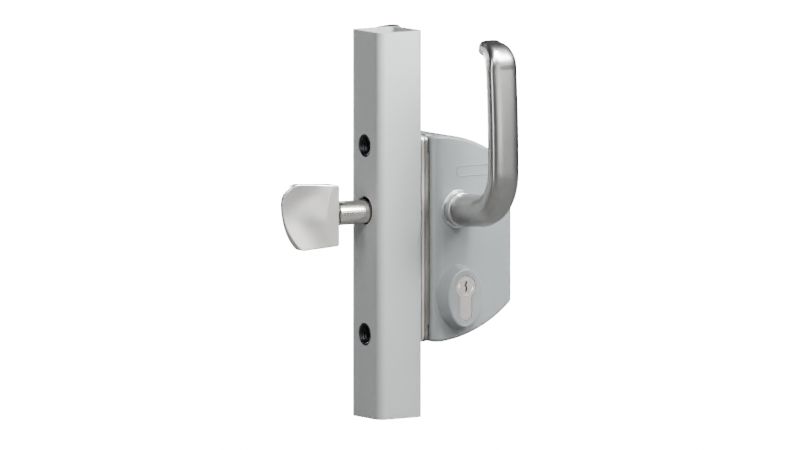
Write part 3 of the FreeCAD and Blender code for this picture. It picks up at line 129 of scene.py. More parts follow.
# Bare metals; a small stretch along an axis draws the grain out into brush marks
GRAIN_SCALE = 2500.0
GRAIN_BUMP = 0.3
GRAIN_RELIEF = 0.000004
CLOUD_SCALE = 60.0
CLOUD_SHADE = 0.92
METAL_SPREAD = 0.05
NO_STRETCH = (1.0, 1.0, 1.0)
BRUSHED_UPWARD = (1.0, 1.0, 0.03)
METALS = {
    "black_steel": dict(colour=(0.035, 0.035, 0.04), roughness=0.42),
    "zinc_steel": dict(colour=(0.30, 0.285, 0.27), roughness=0.40, spread=0.02, relief=0.0),
    "bright_plate": dict(colour=(0.66, 0.64, 0.61), roughness=0.40, spread=0.02, relief=0.0),
    "rose_metal": dict(colour=(0.55, 0.56, 0.56), roughness=0.30, spread=0.0, relief=0.0),
    "bronze": dict(colour=(0.50, 0.34, 0.18), roughness=0.42),
    "handle_metal": dict(colour=(0.385, 0.387, 0.38), roughness=0.28, spread=0.004, relief=0.0,
                         stretch=BRUSHED_UPWARD),
    "spring_steel": dict(colour=(0.40, 0.40, 0.41), roughness=0.30),
    "polished_steel": dict(colour=(0.74, 0.71, 0.675), roughness=0.15, spread=0.0, relief=0.0),
    "cast_stainless": dict(colour=(0.80, 0.79, 0.755), roughness=0.33, spread=0.01, relief=0.000001),
    "nickel_brass": dict(colour=(0.95, 0.90, 0.84), roughness=0.30, spread=0.01, relief=0.0),
    "bare_brass": dict(colour=(0.72, 0.53, 0.22), roughness=0.25),
}

# Gasket rubber
RUBBER_DARK = (0.035, 0.032, 0.03)
RUBBER_LIGHT = (0.066, 0.0612, 0.058)
RUBBER_SCALE = 1500.0
RUBBER_ROUGHNESS = 0.75
RUBBER_BUMP = 0.4
RUBBER_RELIEF = 0.00003

# Bodies and joints of the frame
ROOT_BODY = "lock_on_upright"
HANDLE_BODY = "handle"
BOLT_BODY = "bolt"
PLUG_BODY = "plug"
HANDLE_JOINT = "handle_turn"
JOINTS = {joint["name"]: joint for joint in frame["joints"]}

# Places on the frame
SPINDLE_X, _, BOLT_AXIS_Z = [place / MM for place in JOINTS[HANDLE_JOINT]["pos_m"]]
PLUG_X, _, PLUG_Z = [place / MM for place in JOINTS["plug_turn"]["pos_m"]]
PLUG_LOW, _ = frame_box("front_plug")
_, HANDLE_HIGH = frame_box("front_handle")
_, HEAD_HIGH = frame_box("bolt_head")
SLEEVES_LOW, SLEEVES_HIGH = frame_box("fixing_sleeves")

# Meshes: edges sharper than these angles stay sharp
SMOOTH_DEG = 40.0
BLADE_SMOOTH_DEG = 50.0
RIM_SMOOTH_DEG = 30.0
RING_POINTS = 72
BORE_POINTS = 48
SMALL_HOLE_POINTS = 32
CUT_MARGIN = 1.0
SHORTEST_LENGTH = 1e-9

# Handle
JOURNAL_RADIUS = 11.2
JOURNAL_START = -HANDLE_HIGH.y
NECK_START = 36.1
NECK_RADIUS = 12.2
NECK_CHAMFER = 0.5
NECK_RISE_DEG = 4.3
NECK_LENGTH = 19.3
BEND_RADIUS = 31.5
GRIP_HALF_WIDTH = 11.9
GRIP_HALF_DEPTH = 7.0
GRIP_LENGTH = 77.0
GRIP_CURVE_RADIUS = 990.0
CURL_RADIUS = 15.3
CURL_DEG = 71.0
CURL_SWELL = 1.8
TIP_LENGTH = 6.7
TIP_HALF_WIDTH = 9.3
TIP_HALF_DEPTH = 6.2
TIP_ROUNDING = 3.0
TIP_LARGEST_DRAW = 0.9  # share of the half depth that the rounding may take
ROUND = 2.0  # squareness of a circle; larger values are squarer
OUTER_SQUARENESS = 3.6
INNER_SQUARENESS = 2.5
LEVER_STEP = 1.2
GRUB_RADIUS = 2.55
GRUB_OUT = 42.0

# Bolt head
HEAD_BACK_X = HEAD_HIGH.x
HEAD_LENGTH = 47.6
HEAD_HALF_THICKNESS = HEAD_HIGH.y
HEAD_HALF_HEIGHT = 21.8
HEAD_FOOT = 23.8
HEAD_FLARE = 2.3
HEAD_TOP_LENGTH = 34.1
HEAD_BOTTOM_LENGTH = 31.6
HEAD_APEX_RISE = 7.4
HEAD_UPPER_BULGE = 4.2
HEAD_UPPER_STEPS = 30
HEAD_LOWER_BULGE = 3.8
HEAD_LOWER_STEPS = 60
HEAD_CORNER = 5.5
HEAD_CORNER_STEPS = 14
HEAD_CORNER_REACH = 8  # steps of the lower arc that the corner takes up
HEAD_CORNER_GAP = 0.4  # least height from the corner's end to the arc's next point
HEAD_BACK_CORNER = 1.5
HEAD_BACK_CORNER_STEPS = 6
HEAD_OUTLINE_POINTS = 220
HEAD_EDGE_ROUNDING = 0.7
HEAD_EDGE_INSETS = (0.0, 0.06, 0.16, 0.32, 0.52, HEAD_EDGE_ROUNDING)
HEAD_FACE_RINGS = 44
HEAD_BORE_RADIUS = 5.2
HEAD_BORE_DEPTH = 16.0
PIN_CLEARANCE = 0.02

# Hollow in the bolt head's faces
HOLLOW_DEPTH = 5.2
HOLLOW_DEG = 60.0
HOLLOW_WIDTH = 27.0
HOLLOW_JOIN = 12.0
HOLLOW_CREST_RISE = 3.0
HOLLOW_STRAIGHT_BELOW = -9.0
HOLLOW_FADING = 0.0055
HOLLOW_CREASE_BOTTOM = -6.0
HOLLOW_CREASE_TOP = 16.0
HOLLOW_SOFTNESS = 0.2

# Fixing sleeves
SLEEVE_RADIUS = 8.4
SLEEVE_SPACING = 141.5
UPPER_SLEEVE_Z = SLEEVES_HIGH.z - SLEEVE_RADIUS
LOWER_SLEEVE_Z = UPPER_SLEEVE_Z - SLEEVE_SPACING
SLEEVE_MOUTH_X = SLEEVES_LOW.x
SLEEVE_CHAMFER = 0.4
SLEEVE_END_X = SLEEVES_HIGH.x
SLEEVE_SEAT_X = 5.0
SLEEVE_BORE_RADIUS = 6.4
SLEEVE_HOLE_RADIUS = 3.3
SLEEVE_POINTS = 64
THREAD_PITCH = 2.2
THREAD_DEPTH = 0.75
THREAD_STEP = 0.18
THREAD_RUNOUT = 6.0

# Raised rims
RIM_BEVEL = 0.2
RIM_SINK = 0.1

# Bare badge on the front cover
COVER_FRONT_Y = -24.5
BADGE_X = 61.0
BADGE_Z = 183.3
BADGE_LENGTH = 30.4
BADGE_HEIGHT = 8.4
BADGE_CORNER = 3.4
BADGE_CORNER_STEPS = 8
BADGE_RIM_WIDTH = 0.8
BADGE_RIM_RISE = 0.4

# Rims round the plugs' faces
PLUG_FACE_OUT = -PLUG_LOW.y
PLUG_RIM_RADIUS = 6.7
PLUG_RIM_WIDTH = 0.9
PLUG_RIM_RISE = 0.3


# Materials

def new_material(name):
    """A new material, its node tree and its shader."""
    material = bpy.data.materials.new(name)
    material.use_nodes = True
    return material, material.node_tree, material.node_tree.nodes["Principled BSDF"]


def add_node(tree, kind, **inputs):
    """A new node with inputs set; an underscore in an input's name stands for a space."""
    node = tree.nodes.new(kind)
    for key, value in inputs.items():
        node.inputs[key.replace("_", " ")].default_value = value
    return node


def object_coordinates(tree, stretch=NO_STRETCH):
    """Coordinates fixed to the object, in metres, stretched along its axes."""
    coordinates = tree.nodes.new("ShaderNodeTexCoord")
    mapping = add_node(tree, "ShaderNodeMapping", Scale=stretch)
    tree.links.new(coordinates.outputs["Object"], mapping.inputs["Vector"])
    return mapping.outputs["Vector"]


def noise(tree, vector, scale, detail):
    node = add_node(tree, "ShaderNodeTexNoise", Scale=scale, Detail=detail, Roughness=NOISE_ROUGHNESS)
    tree.links.new(vector, node.inputs["Vector"])
    return node.outputs["Fac"]


def remap(tree, value, low, high):
    """Spreads a noise, which stays near its middle, over the given range."""
    node = add_node(tree, "ShaderNodeMapRange", From_Min=NOISE_LOW, From_Max=NOISE_HIGH,
                    To_Min=low, To_Max=high)
    tree.links.new(value, node.inputs["Value"])
    return node.outputs["Result"]


def mix_base_colour(tree, shader, factor, first, second):
    """Base colour that runs from the first colour to the second with the factor."""
    node = tree.nodes.new("ShaderNodeMix")
    node.data_type = "RGBA"
    sockets = {socket.identifier: socket for socket in [*node.inputs, *node.outputs]}
    sockets["A_Color"].default_value = (*first, 1.0)
    sockets["B_Color"].default_value = (*second, 1.0)
    tree.links.new(factor, sockets["Factor_Float"])
    tree.links.new(sockets["Result_Color"], shader.inputs["Base Color"])


def darkened(colour, shade):
    return tuple(channel * shade for channel in colour)


def set_roughness(tree, shader, value, roughness, spread):
    """Roughness that a noise spreads to both sides, or an even one where there is no spread."""
    shader.inputs["Roughness"].default_value = roughness
    if spread > 0.0:
        spread_out = remap(tree, value, roughness - spread, roughness + spread)
        tree.links.new(spread_out, shader.inputs["Roughness"])


def add_bump(tree, shader, height, strength, distance):
    node = add_node(tree, "ShaderNodeBump", Strength=strength, Distance=distance)
    tree.links.new(height, node.inputs["Height"])
    tree.links.new(node.outputs["Normal"], shader.inputs["Normal"])


def powder_coat(name, colour, roughness, coat=PAINT_COAT):
    """Smooth paint with the soft peel and faint speckle of a baked powder."""
    material, tree, shader = new_material(name)
    vector = object_coordinates(tree)
    peel = noise(tree, vector, PEEL_SCALE, PEEL_DETAIL)
    speckle = remap(tree, noise(tree, vector, SPECKLE_SCALE, GRAIN_DETAIL), 0.0, 1.0)
    mix_base_colour(tree, shader, speckle, darkened(colour, SPECKLE_SHADE), colour)
    set_roughness(tree, shader, peel, roughness, PAINT_SPREAD)
    shader.inputs["Coat Weight"].default_value = coat
    shader.inputs["Coat Roughness"].default_value = PAINT_COAT_ROUGHNESS
    add_bump(tree, shader, peel, PEEL_BUMP, PEEL_RELIEF)
    return material


def metal(name, colour, roughness, spread=METAL_SPREAD, relief=GRAIN_RELIEF, stretch=NO_STRETCH):
    """Bare metal with a wide cloud in its colour and a fine grain in its roughness."""
    material, tree, shader = new_material(name)
    grain = noise(tree, object_coordinates(tree, stretch), GRAIN_SCALE, GRAIN_DETAIL)
    cloud = remap(tree, noise(tree, object_coordinates(tree), CLOUD_SCALE, GRAIN_DETAIL), 0.0, 1.0)
    mix_base_colour(tree, shader, cloud, darkened(colour, CLOUD_SHADE), colour)
    shader.inputs["Metallic"].default_value = 1.0
    set_roughness(tree, shader, grain, roughness, spread)
    if relief > 0.0:
        add_bump(tree, shader, grain, GRAIN_BUMP, relief)
    return material


def rubber(name):
    """Dark, dull rubber."""
    material, tree, shader = new_material(name)
    grain = noise(tree, object_coordinates(tree), RUBBER_SCALE, PEEL_DETAIL)
    mix_base_colour(tree, shader, grain, RUBBER_DARK, RUBBER_LIGHT)
    shader.inputs["Roughness"].default_value = RUBBER_ROUGHNESS
    add_bump(tree, shader, grain, RUBBER_BUMP, RUBBER_RELIEF)
    return material


def make_materials():
    """The object's materials by the names of their slots."""
    made = {name: powder_coat(name, **look) for name, look in PAINTS.items()}
    made.update({name: metal(name, **look) for name, look in METALS.items()})
    made["gasket_rubber"] = rubber("gasket_rubber")
    return made


def dress_nodes(materials):
    """Gives each node of the frame the material of its slot."""
    slots = {part["node"]: part["material_slot"] for part in frame["record"]["subparts"]}
    for name, node in frame["nodes"].items():
        node.data.materials.clear()
        node.data.materials.append(materials[slots[name]])


# Mesh helpers

def new_object(name, data):
    """A new object in the scene."""
    thing = bpy.data.objects.new(name, data)
    bpy.context.scene.collection.objects.link(thing)
    return thing


def new_mesh(name, points, faces):
    """A mesh from points in millimetres, with its faces turned outwards."""
    mesh = bpy.data.meshes.new(name)
    mesh.from_pydata([tuple(Vector(point) * MM) for point in points], [], faces)
    mesh.validate()
    work = bmesh.new()
    work.from_mesh(mesh)
    bmesh.ops.recalc_face_normals(work, faces=work.faces)
    work.to_mesh(mesh)
    work.free()
    return mesh


def new_piece(name, surface, slot, body, smooth_deg=SMOOTH_DEG):
    """A new piece with a surface of points and faces, riding on a body."""
    mesh = new_mesh(name, *surface)
    mesh.shade_smooth()
    mesh.set_sharp_from_angle(angle=math.radians(smooth_deg))
    mesh.materials.append(materials[slot])
    piece = new_object(name, mesh)
    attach(piece, body)
    return piece


def circle_ring(centre, first, second, radius, count):
    """Points round a centre, in the plane of two directions."""
    points = []
    for index in range(count):
        angle = 2 * math.pi * index / count
        points.append(centre + first * (radius * math.cos(angle)) + second * (radius * math.sin(angle)))
    return points


def skin(rings, capped=True):
    """Joins rings of equally many points into one surface of points and faces."""
    count = len(rings[0])
    points = [point for ring in rings for point in ring]
    faces = []
    for row in range(len(rings) - 1):
        for index in range(count):
            following = (index + 1) % count
            low, high = row * count, (row + 1) * count
            faces.append((low + index, low + following, high + following, high + index))
    if capped:
        last = (len(rings) - 1) * count
        faces.append(tuple(reversed(range(count))))
        faces.append(tuple(range(last, last + count)))
    return points, faces


def looped(rings):
    """The surface of rings whose last one joins the first."""
    return skin([*rings, rings[0]], capped=False)


def rod(start, end, first, second, radius, count):
    """A round rod between two places, square to two directions."""
    return skin([circle_ring(centre, first, second, radius, count) for centre in (start, end)])


def flipped(surface):
    """The same surface mirrored to the other side of the gate."""
    points, faces = surface
    mirrored = [(point[0], -point[1], point[2]) for point in points]
    return mirrored, [tuple(reversed(face)) for face in faces]


def cut_away(piece, surface):
    """Cuts a closed surface out of a piece."""
    tool = new_object("tool", new_mesh("tool", *surface))
    modifier = piece.modifiers.new("cut", "BOOLEAN")
    modifier.operation = "DIFFERENCE"
    modifier.solver = "EXACT"
    modifier.object = tool
    bpy.context.view_layer.update()
    evaluated = piece.evaluated_get(bpy.context.evaluated_depsgraph_get())
    mesh = bpy.data.meshes.new_from_object(evaluated)
    piece.modifiers.clear()
    piece.data = mesh
    bpy.data.objects.remove(tool)


def ease(share):
    """A share from 0 to 1 that starts and ends gently."""
    share = min(1.0, max(0.0, share))
    return share * share * (3.0 - 2.0 * share)


def between(first, second, share):
    """Values that lie a share of the way from the first ones to the second."""
    return tuple(a + (b - a) * share for a, b in zip(first, second))


def soft_smaller(first, second, softness):
    """The smaller of two values, blended where they come close."""
    return (first + second - math.sqrt((first - second) ** 2 + softness ** 2)) / 2


def soft_larger(first, second, softness):
    """The larger of two values, blended where they come close."""
    return (first + second + math.sqrt((first - second) ** 2 + softness ** 2)) / 2


# Handles

def lever_run():
    """Closely spaced stations along the handle: out, height, heading, the span and the share of it."""
    heading = math.radians(NECK_RISE_DEG)
    bend = math.pi / 2 - heading
    curl = math.radians(CURL_DEG)
    spans = {
        "neck": (NECK_LENGTH, 0.0),
        "bend": (BEND_RADIUS * bend, bend),
        "grip": (GRIP_LENGTH, GRIP_LENGTH / GRIP_CURVE_RADIUS),
        "curl": (CURL_RADIUS * curl, curl),
        "tip": (TIP_LENGTH, 0.0),
    }
    out, rise = NECK_START, 0.0
    stations = []
    for span, (length, turn) in spans.items():
        steps = max(2, round(length / LEVER_STEP))
        for step in range(1, steps + 1):
            heading += turn / steps / 2
            out += length / steps * math.cos(heading)
            rise += length / steps * math.sin(heading)
            heading += turn / steps / 2
            stations.append((out, rise, heading, span, step / steps))
    return stations


def lever_form(span, share):
    """Half width, half depth, outer and inner squareness of the handle's section."""
    neck = (NECK_RADIUS, NECK_RADIUS, ROUND, ROUND)
    grip = (GRIP_HALF_WIDTH, GRIP_HALF_DEPTH, OUTER_SQUARENESS, INNER_SQUARENESS)
    tip = (TIP_HALF_WIDTH, TIP_HALF_DEPTH, OUTER_SQUARENESS, INNER_SQUARENESS)
    if span == "neck":
        return neck
    if span == "bend":
        return between(neck, grip, ease(share))
    if span == "grip":
        return grip
    if span == "curl":
        half_width, half_depth, outer, inner = between(grip, tip, ease(share))
        return half_width, half_depth + CURL_SWELL * math.sin(math.pi * share), outer, inner
    into_rounding = max(0.0, share * TIP_LENGTH - (TIP_LENGTH - TIP_ROUNDING)) / TIP_ROUNDING
    drawn_in = TIP_ROUNDING * (1.0 - math.sqrt(max(0.0, 1.0 - into_rounding ** 2)))
    drawn_in = min(drawn_in, TIP_HALF_DEPTH * TIP_LARGEST_DRAW)
    return TIP_HALF_WIDTH - drawn_in, TIP_HALF_DEPTH - drawn_in, OUTER_SQUARENESS, INNER_SQUARENESS


def lever_ring(out, rise, heading, half_width, half_depth, outer, inner):
    """One section; its outer half faces away from the gate."""
    centre = Vector((SPINDLE_X, -out, BOLT_AXIS_Z + rise))
    inward = Vector((0.0, math.sin(heading), math.cos(heading)))
    ring = []
    for index in range(RING_POINTS):
        angle = 2 * math.pi * index / RING_POINTS
        cosine, sine = math.cos(angle), math.sin(angle)
        power = 2.0 / (inner if sine > 0 else outer)
        aside = math.copysign(abs(cosine) ** power, cosine) * half_width
        deep = math.copysign(abs(sine) ** power, sine) * half_depth
        ring.append(centre + ALONG * aside + inward * deep)
    return ring


def make_handles():
    """Both levers, each with its grub screw's hole below the neck."""
    journal = [(JOURNAL_START, JOURNAL_RADIUS), (NECK_START, JOURNAL_RADIUS),
               (NECK_START, NECK_RADIUS - NECK_CHAMFER), (NECK_START + NECK_CHAMFER, NECK_RADIUS)]
    rings = [lever_ring(out, 0.0, 0.0, radius, radius, ROUND, ROUND) for out, radius in journal]
    for out, rise, heading, span, share in lever_run():
        rings.append(lever_ring(out, rise, heading, *lever_form(span, share)))
    front = skin(rings)
    for name, node, surface, grub_y in (
            ("front_lever", "front_handle", front, -GRUB_OUT),
            ("back_lever", "back_handle", flipped(front), GRUB_OUT)):
        lever = new_piece(name, surface, "handle_metal", HANDLE_BODY)
        foot = Vector((SPINDLE_X, grub_y, BOLT_AXIS_Z - 2 * NECK_RADIUS))
        top = Vector((SPINDLE_X, grub_y, BOLT_AXIS_Z - NECK_RADIUS / 2))
        cut_away(lever, rod(foot, top, ALONG, BACK, GRUB_RADIUS, SMALL_HOLE_POINTS))
        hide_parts(node)


# Bolt head

def arc_points(start, end, bulge, steps):
    """Points from start to end on an arc that stands out to the left of the way."""
    chord = end - start
    half = chord.length / 2
    radius = (half ** 2 + bulge ** 2) / (2 * bulge)
    outward = Vector((-chord.y, chord.x)).normalized()
    centre = (start + end) / 2 - outward * (radius - bulge)
    sweep = 2 * math.asin(min(1.0, half / radius))
    points = []
    for step in range(steps + 1):
        turned = Matrix.Rotation(-sweep * step / steps, 2) @ (start - centre)
        points.append(centre + turned)
    return points


def rounded_corner(before, corner, after, radius, steps):
    """Points round a corner of a path, in place of the corner itself."""
    to_before = (before - corner).normalized()
    to_after = (after - corner).normalized()
    half_angle = to_before.angle(to_after) / 2
    setback = radius / math.tan(half_angle)
    centre = corner + (to_before + to_after).normalized() * (radius / math.sin(half_angle))
    start = corner + to_before * setback - centre
    end = corner + to_after * setback - centre
    return [centre + start.slerp(end, step / steps) * radius for step in range(steps + 1)]


def evenly_spaced(points, count):
    """The closed path through the points, cut into equal steps."""
    closed = points + [points[0]]
    lengths = [(b - a).length for a, b in zip(closed, closed[1:])]
    step = sum(lengths) / count
    result, index, into = [], 0, 0.0
    for _ in range(count):
        while into > lengths[index]:
            into -= lengths[index]
            index += 1
        a, b = closed[index], closed[index + 1]
        result.append(a + (b - a) * (into / max(lengths[index], SHORTEST_LENGTH)))
        into += step
    return result


def head_place(back, rise):
    """A place on the head's side: distance from its back end, height over the bolt's axis."""
    return Vector((HEAD_BACK_X - back, rise))


def head_apex():
    return head_place(HEAD_LENGTH, HEAD_APEX_RISE)


def head_lower_nose():
    return head_place(HEAD_BOTTOM_LENGTH, -HEAD_FOOT - HEAD_FLARE)


def head_outline():
    """The head's side outline, clockwise seen from the front: x and height over the bolt's axis."""
    top_back = head_place(0, HEAD_HALF_HEIGHT)
    top_nose = head_place(HEAD_TOP_LENGTH, HEAD_HALF_HEIGHT + HEAD_FLARE)
    bottom_back = head_place(0, -HEAD_FOOT)
    bottom_nose = head_lower_nose()
    upper = arc_points(head_apex(), top_nose, HEAD_UPPER_BULGE, HEAD_UPPER_STEPS)
    lower = arc_points(bottom_nose, head_apex(), HEAD_LOWER_BULGE, HEAD_LOWER_STEPS)
    corner = rounded_corner(bottom_back, bottom_nose, lower[HEAD_CORNER_REACH], HEAD_CORNER,
                            HEAD_CORNER_STEPS)
    corner_top = corner[-1].y + HEAD_CORNER_GAP
    outline = rounded_corner(top_back, bottom_back, bottom_nose, HEAD_BACK_CORNER,
                             HEAD_BACK_CORNER_STEPS)
    outline += corner
    outline += [point for point in lower[1:] if point.y > corner_top]
    outline += upper[1:]
    outline += rounded_corner(top_nose, top_back, bottom_back, HEAD_BACK_CORNER,
                              HEAD_BACK_CORNER_STEPS)
    return evenly_spaced(outline, HEAD_OUTLINE_POINTS)


def head_hollow(place):
    """Depth of the hollow along both leading edges, with a crease at its upper end."""
    slant = math.radians(HOLLOW_DEG)
    lower_edge = (head_lower_nose() - head_apex()).normalized()
    away = place - head_apex()
    from_slant = away.x * math.sin(slant) - away.y * math.cos(slant)
    from_edge = away.x * -lower_edge.y + away.y * lower_edge.x
    nearer = soft_smaller(from_slant, from_edge, HOLLOW_JOIN)
    share = max(0.0, nearer / HOLLOW_WIDTH)
    creased = max(0.0, 1.0 - share ** 2)
    faded = 1.0 - ease(share)
    sharp = ease((place.y - HOLLOW_CREASE_BOTTOM) / (HOLLOW_CREASE_TOP - HOLLOW_CREASE_BOTTOM))
    bent = max(place.y, HOLLOW_STRAIGHT_BELOW) - HOLLOW_CREST_RISE
    straight = min(0.0, place.y - HOLLOW_STRAIGHT_BELOW)
    depth = HOLLOW_DEPTH - HOLLOW_FADING * (bent ** 2 + 2 * bent * straight)
    return depth * (sharp * creased + (1.0 - sharp) * faded)


def head_half_thickness(place):
    """Half the blade's thickness at a place, less the hollow where it has a depth."""
    hollow = soft_larger(head_hollow(place), 0.0, HOLLOW_SOFTNESS)
    return HEAD_HALF_THICKNESS - min(hollow, HOLLOW_DEPTH)


def head_ring(outline, inset, share, side):
    """The outline drawn in by an inset and then by a share of the way to the middle, on one side."""
    middle = head_place(HEAD_LENGTH / 2, 0.0)
    from_rounding = HEAD_EDGE_ROUNDING - inset
    missing = HEAD_EDGE_ROUNDING - math.sqrt(HEAD_EDGE_ROUNDING ** 2 - from_rounding ** 2)
    ring = []
    for place in outline:
        inward = middle - place
        inset_place = place + inward.normalized() * inset
        drawn = inset_place + inward * (share * (1.0 - inset / inward.length))
        half = head_half_thickness(drawn) - missing
        ring.append(Vector((drawn.x, side * half, BOLT_AXIS_Z + drawn.y)))
    return ring


def make_bolt_head():
    """The cast blade, with its bore for the bolt and its hole for the pin."""
    outline = head_outline()
    edge = [(inset, 0.0) for inset in HEAD_EDGE_INSETS]
    face = [(HEAD_EDGE_ROUNDING, step / HEAD_FACE_RINGS) for step in range(1, HEAD_FACE_RINGS)]
    inward = edge + face
    rings = [head_ring(outline, inset, share, -1.0) for inset, share in reversed(inward)]
    rings += [head_ring(outline, inset, share, 1.0) for inset, share in inward]
    head = new_piece("blade", skin(rings), "cast_stainless", BOLT_BODY, BLADE_SMOOTH_DEG)
    mouth = Vector((HEAD_BACK_X + CUT_MARGIN, 0, BOLT_AXIS_Z))
    floor = Vector((HEAD_BACK_X - HEAD_BORE_DEPTH, 0, BOLT_AXIS_Z))
    cut_away(head, rod(mouth, floor, BACK, UP, HEAD_BORE_RADIUS, BORE_POINTS))
    low, high = frame_box("head_pin")
    pin_middle = (low + high) / 2
    pin_radius = (high.x - low.x) / 2 + PIN_CLEARANCE
    pin_start = Vector((pin_middle.x, low.y, pin_middle.z))
    pin_end = Vector((pin_middle.x, high.y + CUT_MARGIN, pin_middle.z))
    cut_away(head, rod(pin_start, pin_end, ALONG, UP, pin_radius, SMALL_HOLE_POINTS))
    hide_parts("bolt_head")


# Fixing sleeves

def sleeve_ring(centre, x, radius):
    return circle_ring(centre + ALONG * x, BACK, UP, radius, SLEEVE_POINTS)


def thread_ring(centre, x):
    """A section of the threaded bore, whose crest winds round as x grows."""
    ring = []
    for index in range(SLEEVE_POINTS):
        turn = index / SLEEVE_POINTS
        phase = (x - SLEEVE_MOUTH_X) / THREAD_PITCH - turn
        tooth = abs((phase % 1.0) * 2.0 - 1.0)
        radius = SLEEVE_BORE_RADIUS + THREAD_DEPTH * tooth
        angle = 2 * math.pi * turn
        ring.append(centre + Vector((x, radius * math.cos(angle), radius * math.sin(angle))))
    return ring


def make_sleeves():
    """Black sleeves with a real helical thread, in place of the plain rings."""
    thread_length = SLEEVE_SEAT_X - THREAD_RUNOUT - SLEEVE_MOUTH_X
    thread_rings = int(thread_length / THREAD_STEP)
    outside = [(SLEEVE_SEAT_X, SLEEVE_HOLE_RADIUS), (SLEEVE_END_X, SLEEVE_HOLE_RADIUS),
               (SLEEVE_END_X, SLEEVE_RADIUS), (SLEEVE_MOUTH_X + SLEEVE_CHAMFER, SLEEVE_RADIUS),
               (SLEEVE_MOUTH_X, SLEEVE_RADIUS - SLEEVE_CHAMFER),
               (SLEEVE_MOUTH_X, SLEEVE_BORE_RADIUS + THREAD_DEPTH)]
    for name, z in (("lower_sleeve", LOWER_SLEEVE_Z), ("upper_sleeve", UPPER_SLEEVE_Z)):
        centre = Vector((0.0, 0.0, z))
        rings = [sleeve_ring(centre, x, radius) for x, radius in outside]
        for step in range(1, thread_rings + 1):
            rings.append(thread_ring(centre, SLEEVE_MOUTH_X + step * THREAD_STEP))
        rings.append(sleeve_ring(centre, SLEEVE_SEAT_X, SLEEVE_BORE_RADIUS))
        sleeve = new_piece(name, looped(rings), "black_steel", ROOT_BODY)
        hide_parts("fixing_sleeves")


# Return spring

def make_spring():
    """A copy of the rack's return spring, with a mesh of its own, riding on the lock's fixed body in place of the
    frame's one.
    """
    node = frame["nodes"]["return_spring"]
    spring = node.copy()
    spring.data = node.data.copy()
    spring.name = "pressed_spring"
    bpy.context.scene.collection.objects.link(spring)
    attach(spring, ROOT_BODY)
    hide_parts("return_spring")
    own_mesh(spring)


# Raised rims

def rim_section(width, rise):
    """A low rim's section, from its outer foot to its inner one: how far in, how far out of the face."""
    return [(0.0, -RIM_SINK), (0.0, 0.0), (RIM_BEVEL, rise), (width - RIM_BEVEL, rise), (width, 0.0),
            (width, -RIM_SINK)]


def badge_line(inset):
    """The bare badge's outline on the front cover, drawn in by an inset: x and height."""
    half_length = BADGE_LENGTH / 2 - inset
    half_height = BADGE_HEIGHT / 2 - inset
    radius = BADGE_CORNER - inset
    points = []
    for quarter, (side, level) in enumerate(((1, 1), (-1, 1), (-1, -1), (1, -1))):
        for step in range(BADGE_CORNER_STEPS + 1):
            angle = (quarter + step / BADGE_CORNER_STEPS) * math.pi / 2
            points.append((BADGE_X + side * (half_length - radius) + radius * math.cos(angle),
                           BADGE_Z + level * (half_height - radius) + radius * math.sin(angle)))
    return points


def make_badge():
    """The raised rim of the cover's badge, left bare."""
    rings = []
    for inset, out in rim_section(BADGE_RIM_WIDTH, BADGE_RIM_RISE):
        rings.append([(x, COVER_FRONT_Y - out, z) for x, z in badge_line(inset)])
    new_piece("badge_rim", looped(rings), "cover_paint", ROOT_BODY, RIM_SMOOTH_DEG)


def make_plug_rims():
    """The turned rim on each plug's face."""
    rings = []
    for inset, out in rim_section(PLUG_RIM_WIDTH, PLUG_RIM_RISE):
        centre = Vector((PLUG_X, -PLUG_FACE_OUT - out, PLUG_Z))
        rings.append(circle_ring(centre, ALONG, UP, PLUG_RIM_RADIUS - inset, RING_POINTS))
    front = looped(rings)
    new_piece("front_plug_rim", front, "nickel_brass", PLUG_BODY, RIM_SMOOTH_DEG)
    new_piece("back_plug_rim", flipped(front), "nickel_brass", PLUG_BODY, RIM_SMOOTH_DEG)


# Studio

def aim(thing, place, target):
    """Puts a camera or a light in its place, looking at the target."""
    thing.location = place
    thing.rotation_euler = (target - place).to_track_quat("-Z", "Y").to_euler()


def view_directions():
    """The photograph's view direction and its right."""
    azimuth = math.radians(VIEW_AZIMUTH_DEG)
    elevation = math.radians(VIEW_ELEVATION_DEG)
    forward = Vector((-math.sin(azimuth) * math.cos(elevation), math.cos(azimuth) * math.cos(elevation),
                      -math.sin(elevation)))
    right = Vector((math.cos(azimuth), math.sin(azimuth), 0.0))
    return forward, right


def make_camera():
    """A long lens on the photograph's view."""
    data = bpy.data.cameras.new("photo_camera")
    data.sensor_width = SENSOR_MM
    data.lens = FOCAL_PX * SENSOR_MM / IMAGE_WIDTH_PX
    data.clip_end = CAMERA_REACH
    camera = new_object("photo_camera", data)
    forward, _ = view_directions()
    distance = FOCAL_PX / PX_PER_MM * MM
    aim(camera, VIEW_CENTRE - forward * distance, VIEW_CENTRE)
    bpy.context.scene.camera = camera


def make_panel(name, aside_deg, rise_deg, distance, width, height, power):
    """A light panel, placed by its angle to the right of the camera and its height angle."""
    forward, right = view_directions()
    level = Vector((forward.x, forward.y, 0.0)).normalized()
    aside, rise = math.radians(aside_deg), math.radians(rise_deg)
    direction = (right * math.sin(aside) - level * math.cos(aside)) * math.cos(rise)
    direction.z = math.sin(rise)
    data = bpy.data.lights.new(name, "AREA")
    data.shape = "RECTANGLE"
    data.size = width
    data.size_y = height
    data.energy = power
    aim(new_object(name, data), VIEW_CENTRE + direction * distance, VIEW_CENTRE)


def make_lights():
    for name, panel in PANELS.items():
        make_panel(name, *panel)


def show_to_camera(tree, shown, otherwise, output):
    """Gives the camera one shader, and reflections and light another."""
    rays = tree.nodes.new("ShaderNodeLightPath")
    choice = tree.nodes.new("ShaderNodeMixShader")
    surface = tree.nodes[output].inputs["Surface"]
    tree.links.new(rays.outputs["Is Camera Ray"], choice.inputs["Fac"])
    tree.links.new(otherwise, choice.inputs[1])
    tree.links.new(shown, choice.inputs[2])
    tree.links.new(choice.outputs["Shader"], surface)


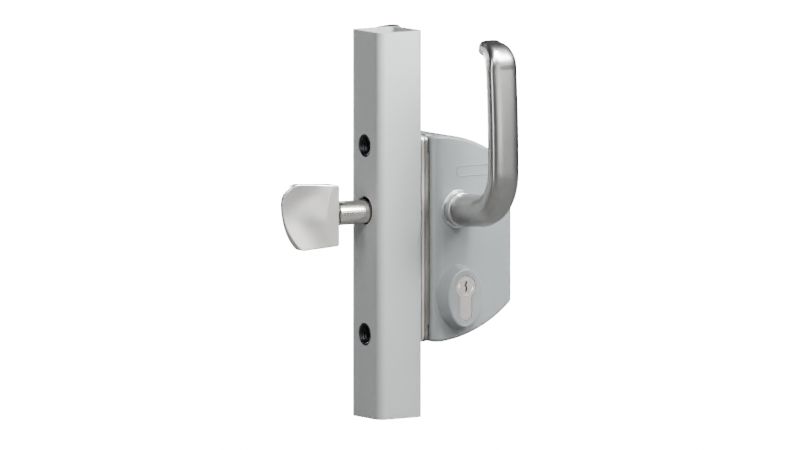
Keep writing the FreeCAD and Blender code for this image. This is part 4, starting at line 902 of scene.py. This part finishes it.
def make_world():
    """A white backdrop to the camera, and a dark studio to the object."""
    world = bpy.data.worlds.new("studio")
    world.use_nodes = True
    tree = world.node_tree
    studio = tree.nodes["Background"]
    coordinates = tree.nodes.new("ShaderNodeTexCoord")
    height = tree.nodes.new("ShaderNodeSeparateXYZ")
    tree.links.new(coordinates.outputs["Generated"], height.inputs["Vector"])
    ramp = add_node(tree, "ShaderNodeMapRange", From_Min=-1.0, From_Max=1.0)
    tree.links.new(height.outputs["Z"], ramp.inputs["Value"])
    levels = tree.nodes.new("ShaderNodeValToRGB")
    stops = levels.color_ramp.elements
    stops.new(HORIZON_STOP)
    for stop, level in zip(stops, (GROUND_LEVEL, HORIZON_LEVEL, SKY_LEVEL)):
        stop.color = (level, level, level, 1.0)
    tree.links.new(ramp.outputs["Result"], levels.inputs["Fac"])
    tree.links.new(levels.outputs["Color"], studio.inputs["Color"])
    backdrop = add_node(tree, "ShaderNodeBackground", Strength=BACKDROP_LEVEL)
    show_to_camera(tree, backdrop.outputs["Background"], studio.outputs["Background"], "World Output")
    bpy.context.scene.world = world


def pale_floor():
    """White to the camera, as in a catalogue picture, and dim to the object that stands on it."""
    material, tree, shader = new_material("pale_floor")
    shader.inputs["Base Color"].default_value = (FLOOR_SHADE, FLOOR_SHADE, FLOOR_SHADE, 1.0)
    shader.inputs["Roughness"].default_value = FLOOR_ROUGHNESS
    glow = add_node(tree, "ShaderNodeEmission", Strength=BACKDROP_LEVEL)
    show_to_camera(tree, glow.outputs["Emission"], shader.outputs["BSDF"], "Material Output")
    return material


def make_floor():
    """A square floor just under the object."""
    half = FLOOR_SIZE / 2
    corners = [(x * half, y * half, -FLOOR_DROP) for x, y in ((-1, -1), (1, -1), (1, 1), (-1, 1))]
    mesh = bpy.data.meshes.new("floor")
    mesh.from_pydata(corners, [], [(0, 1, 2, 3)])
    mesh.materials.append(pale_floor())
    new_object("floor", mesh)


materials = make_materials()
dress_nodes(materials)
make_handles()
make_bolt_head()
make_sleeves()
make_spring()
make_badge()
make_plug_rims()
make_camera()
make_world()
make_lights()
make_floor()
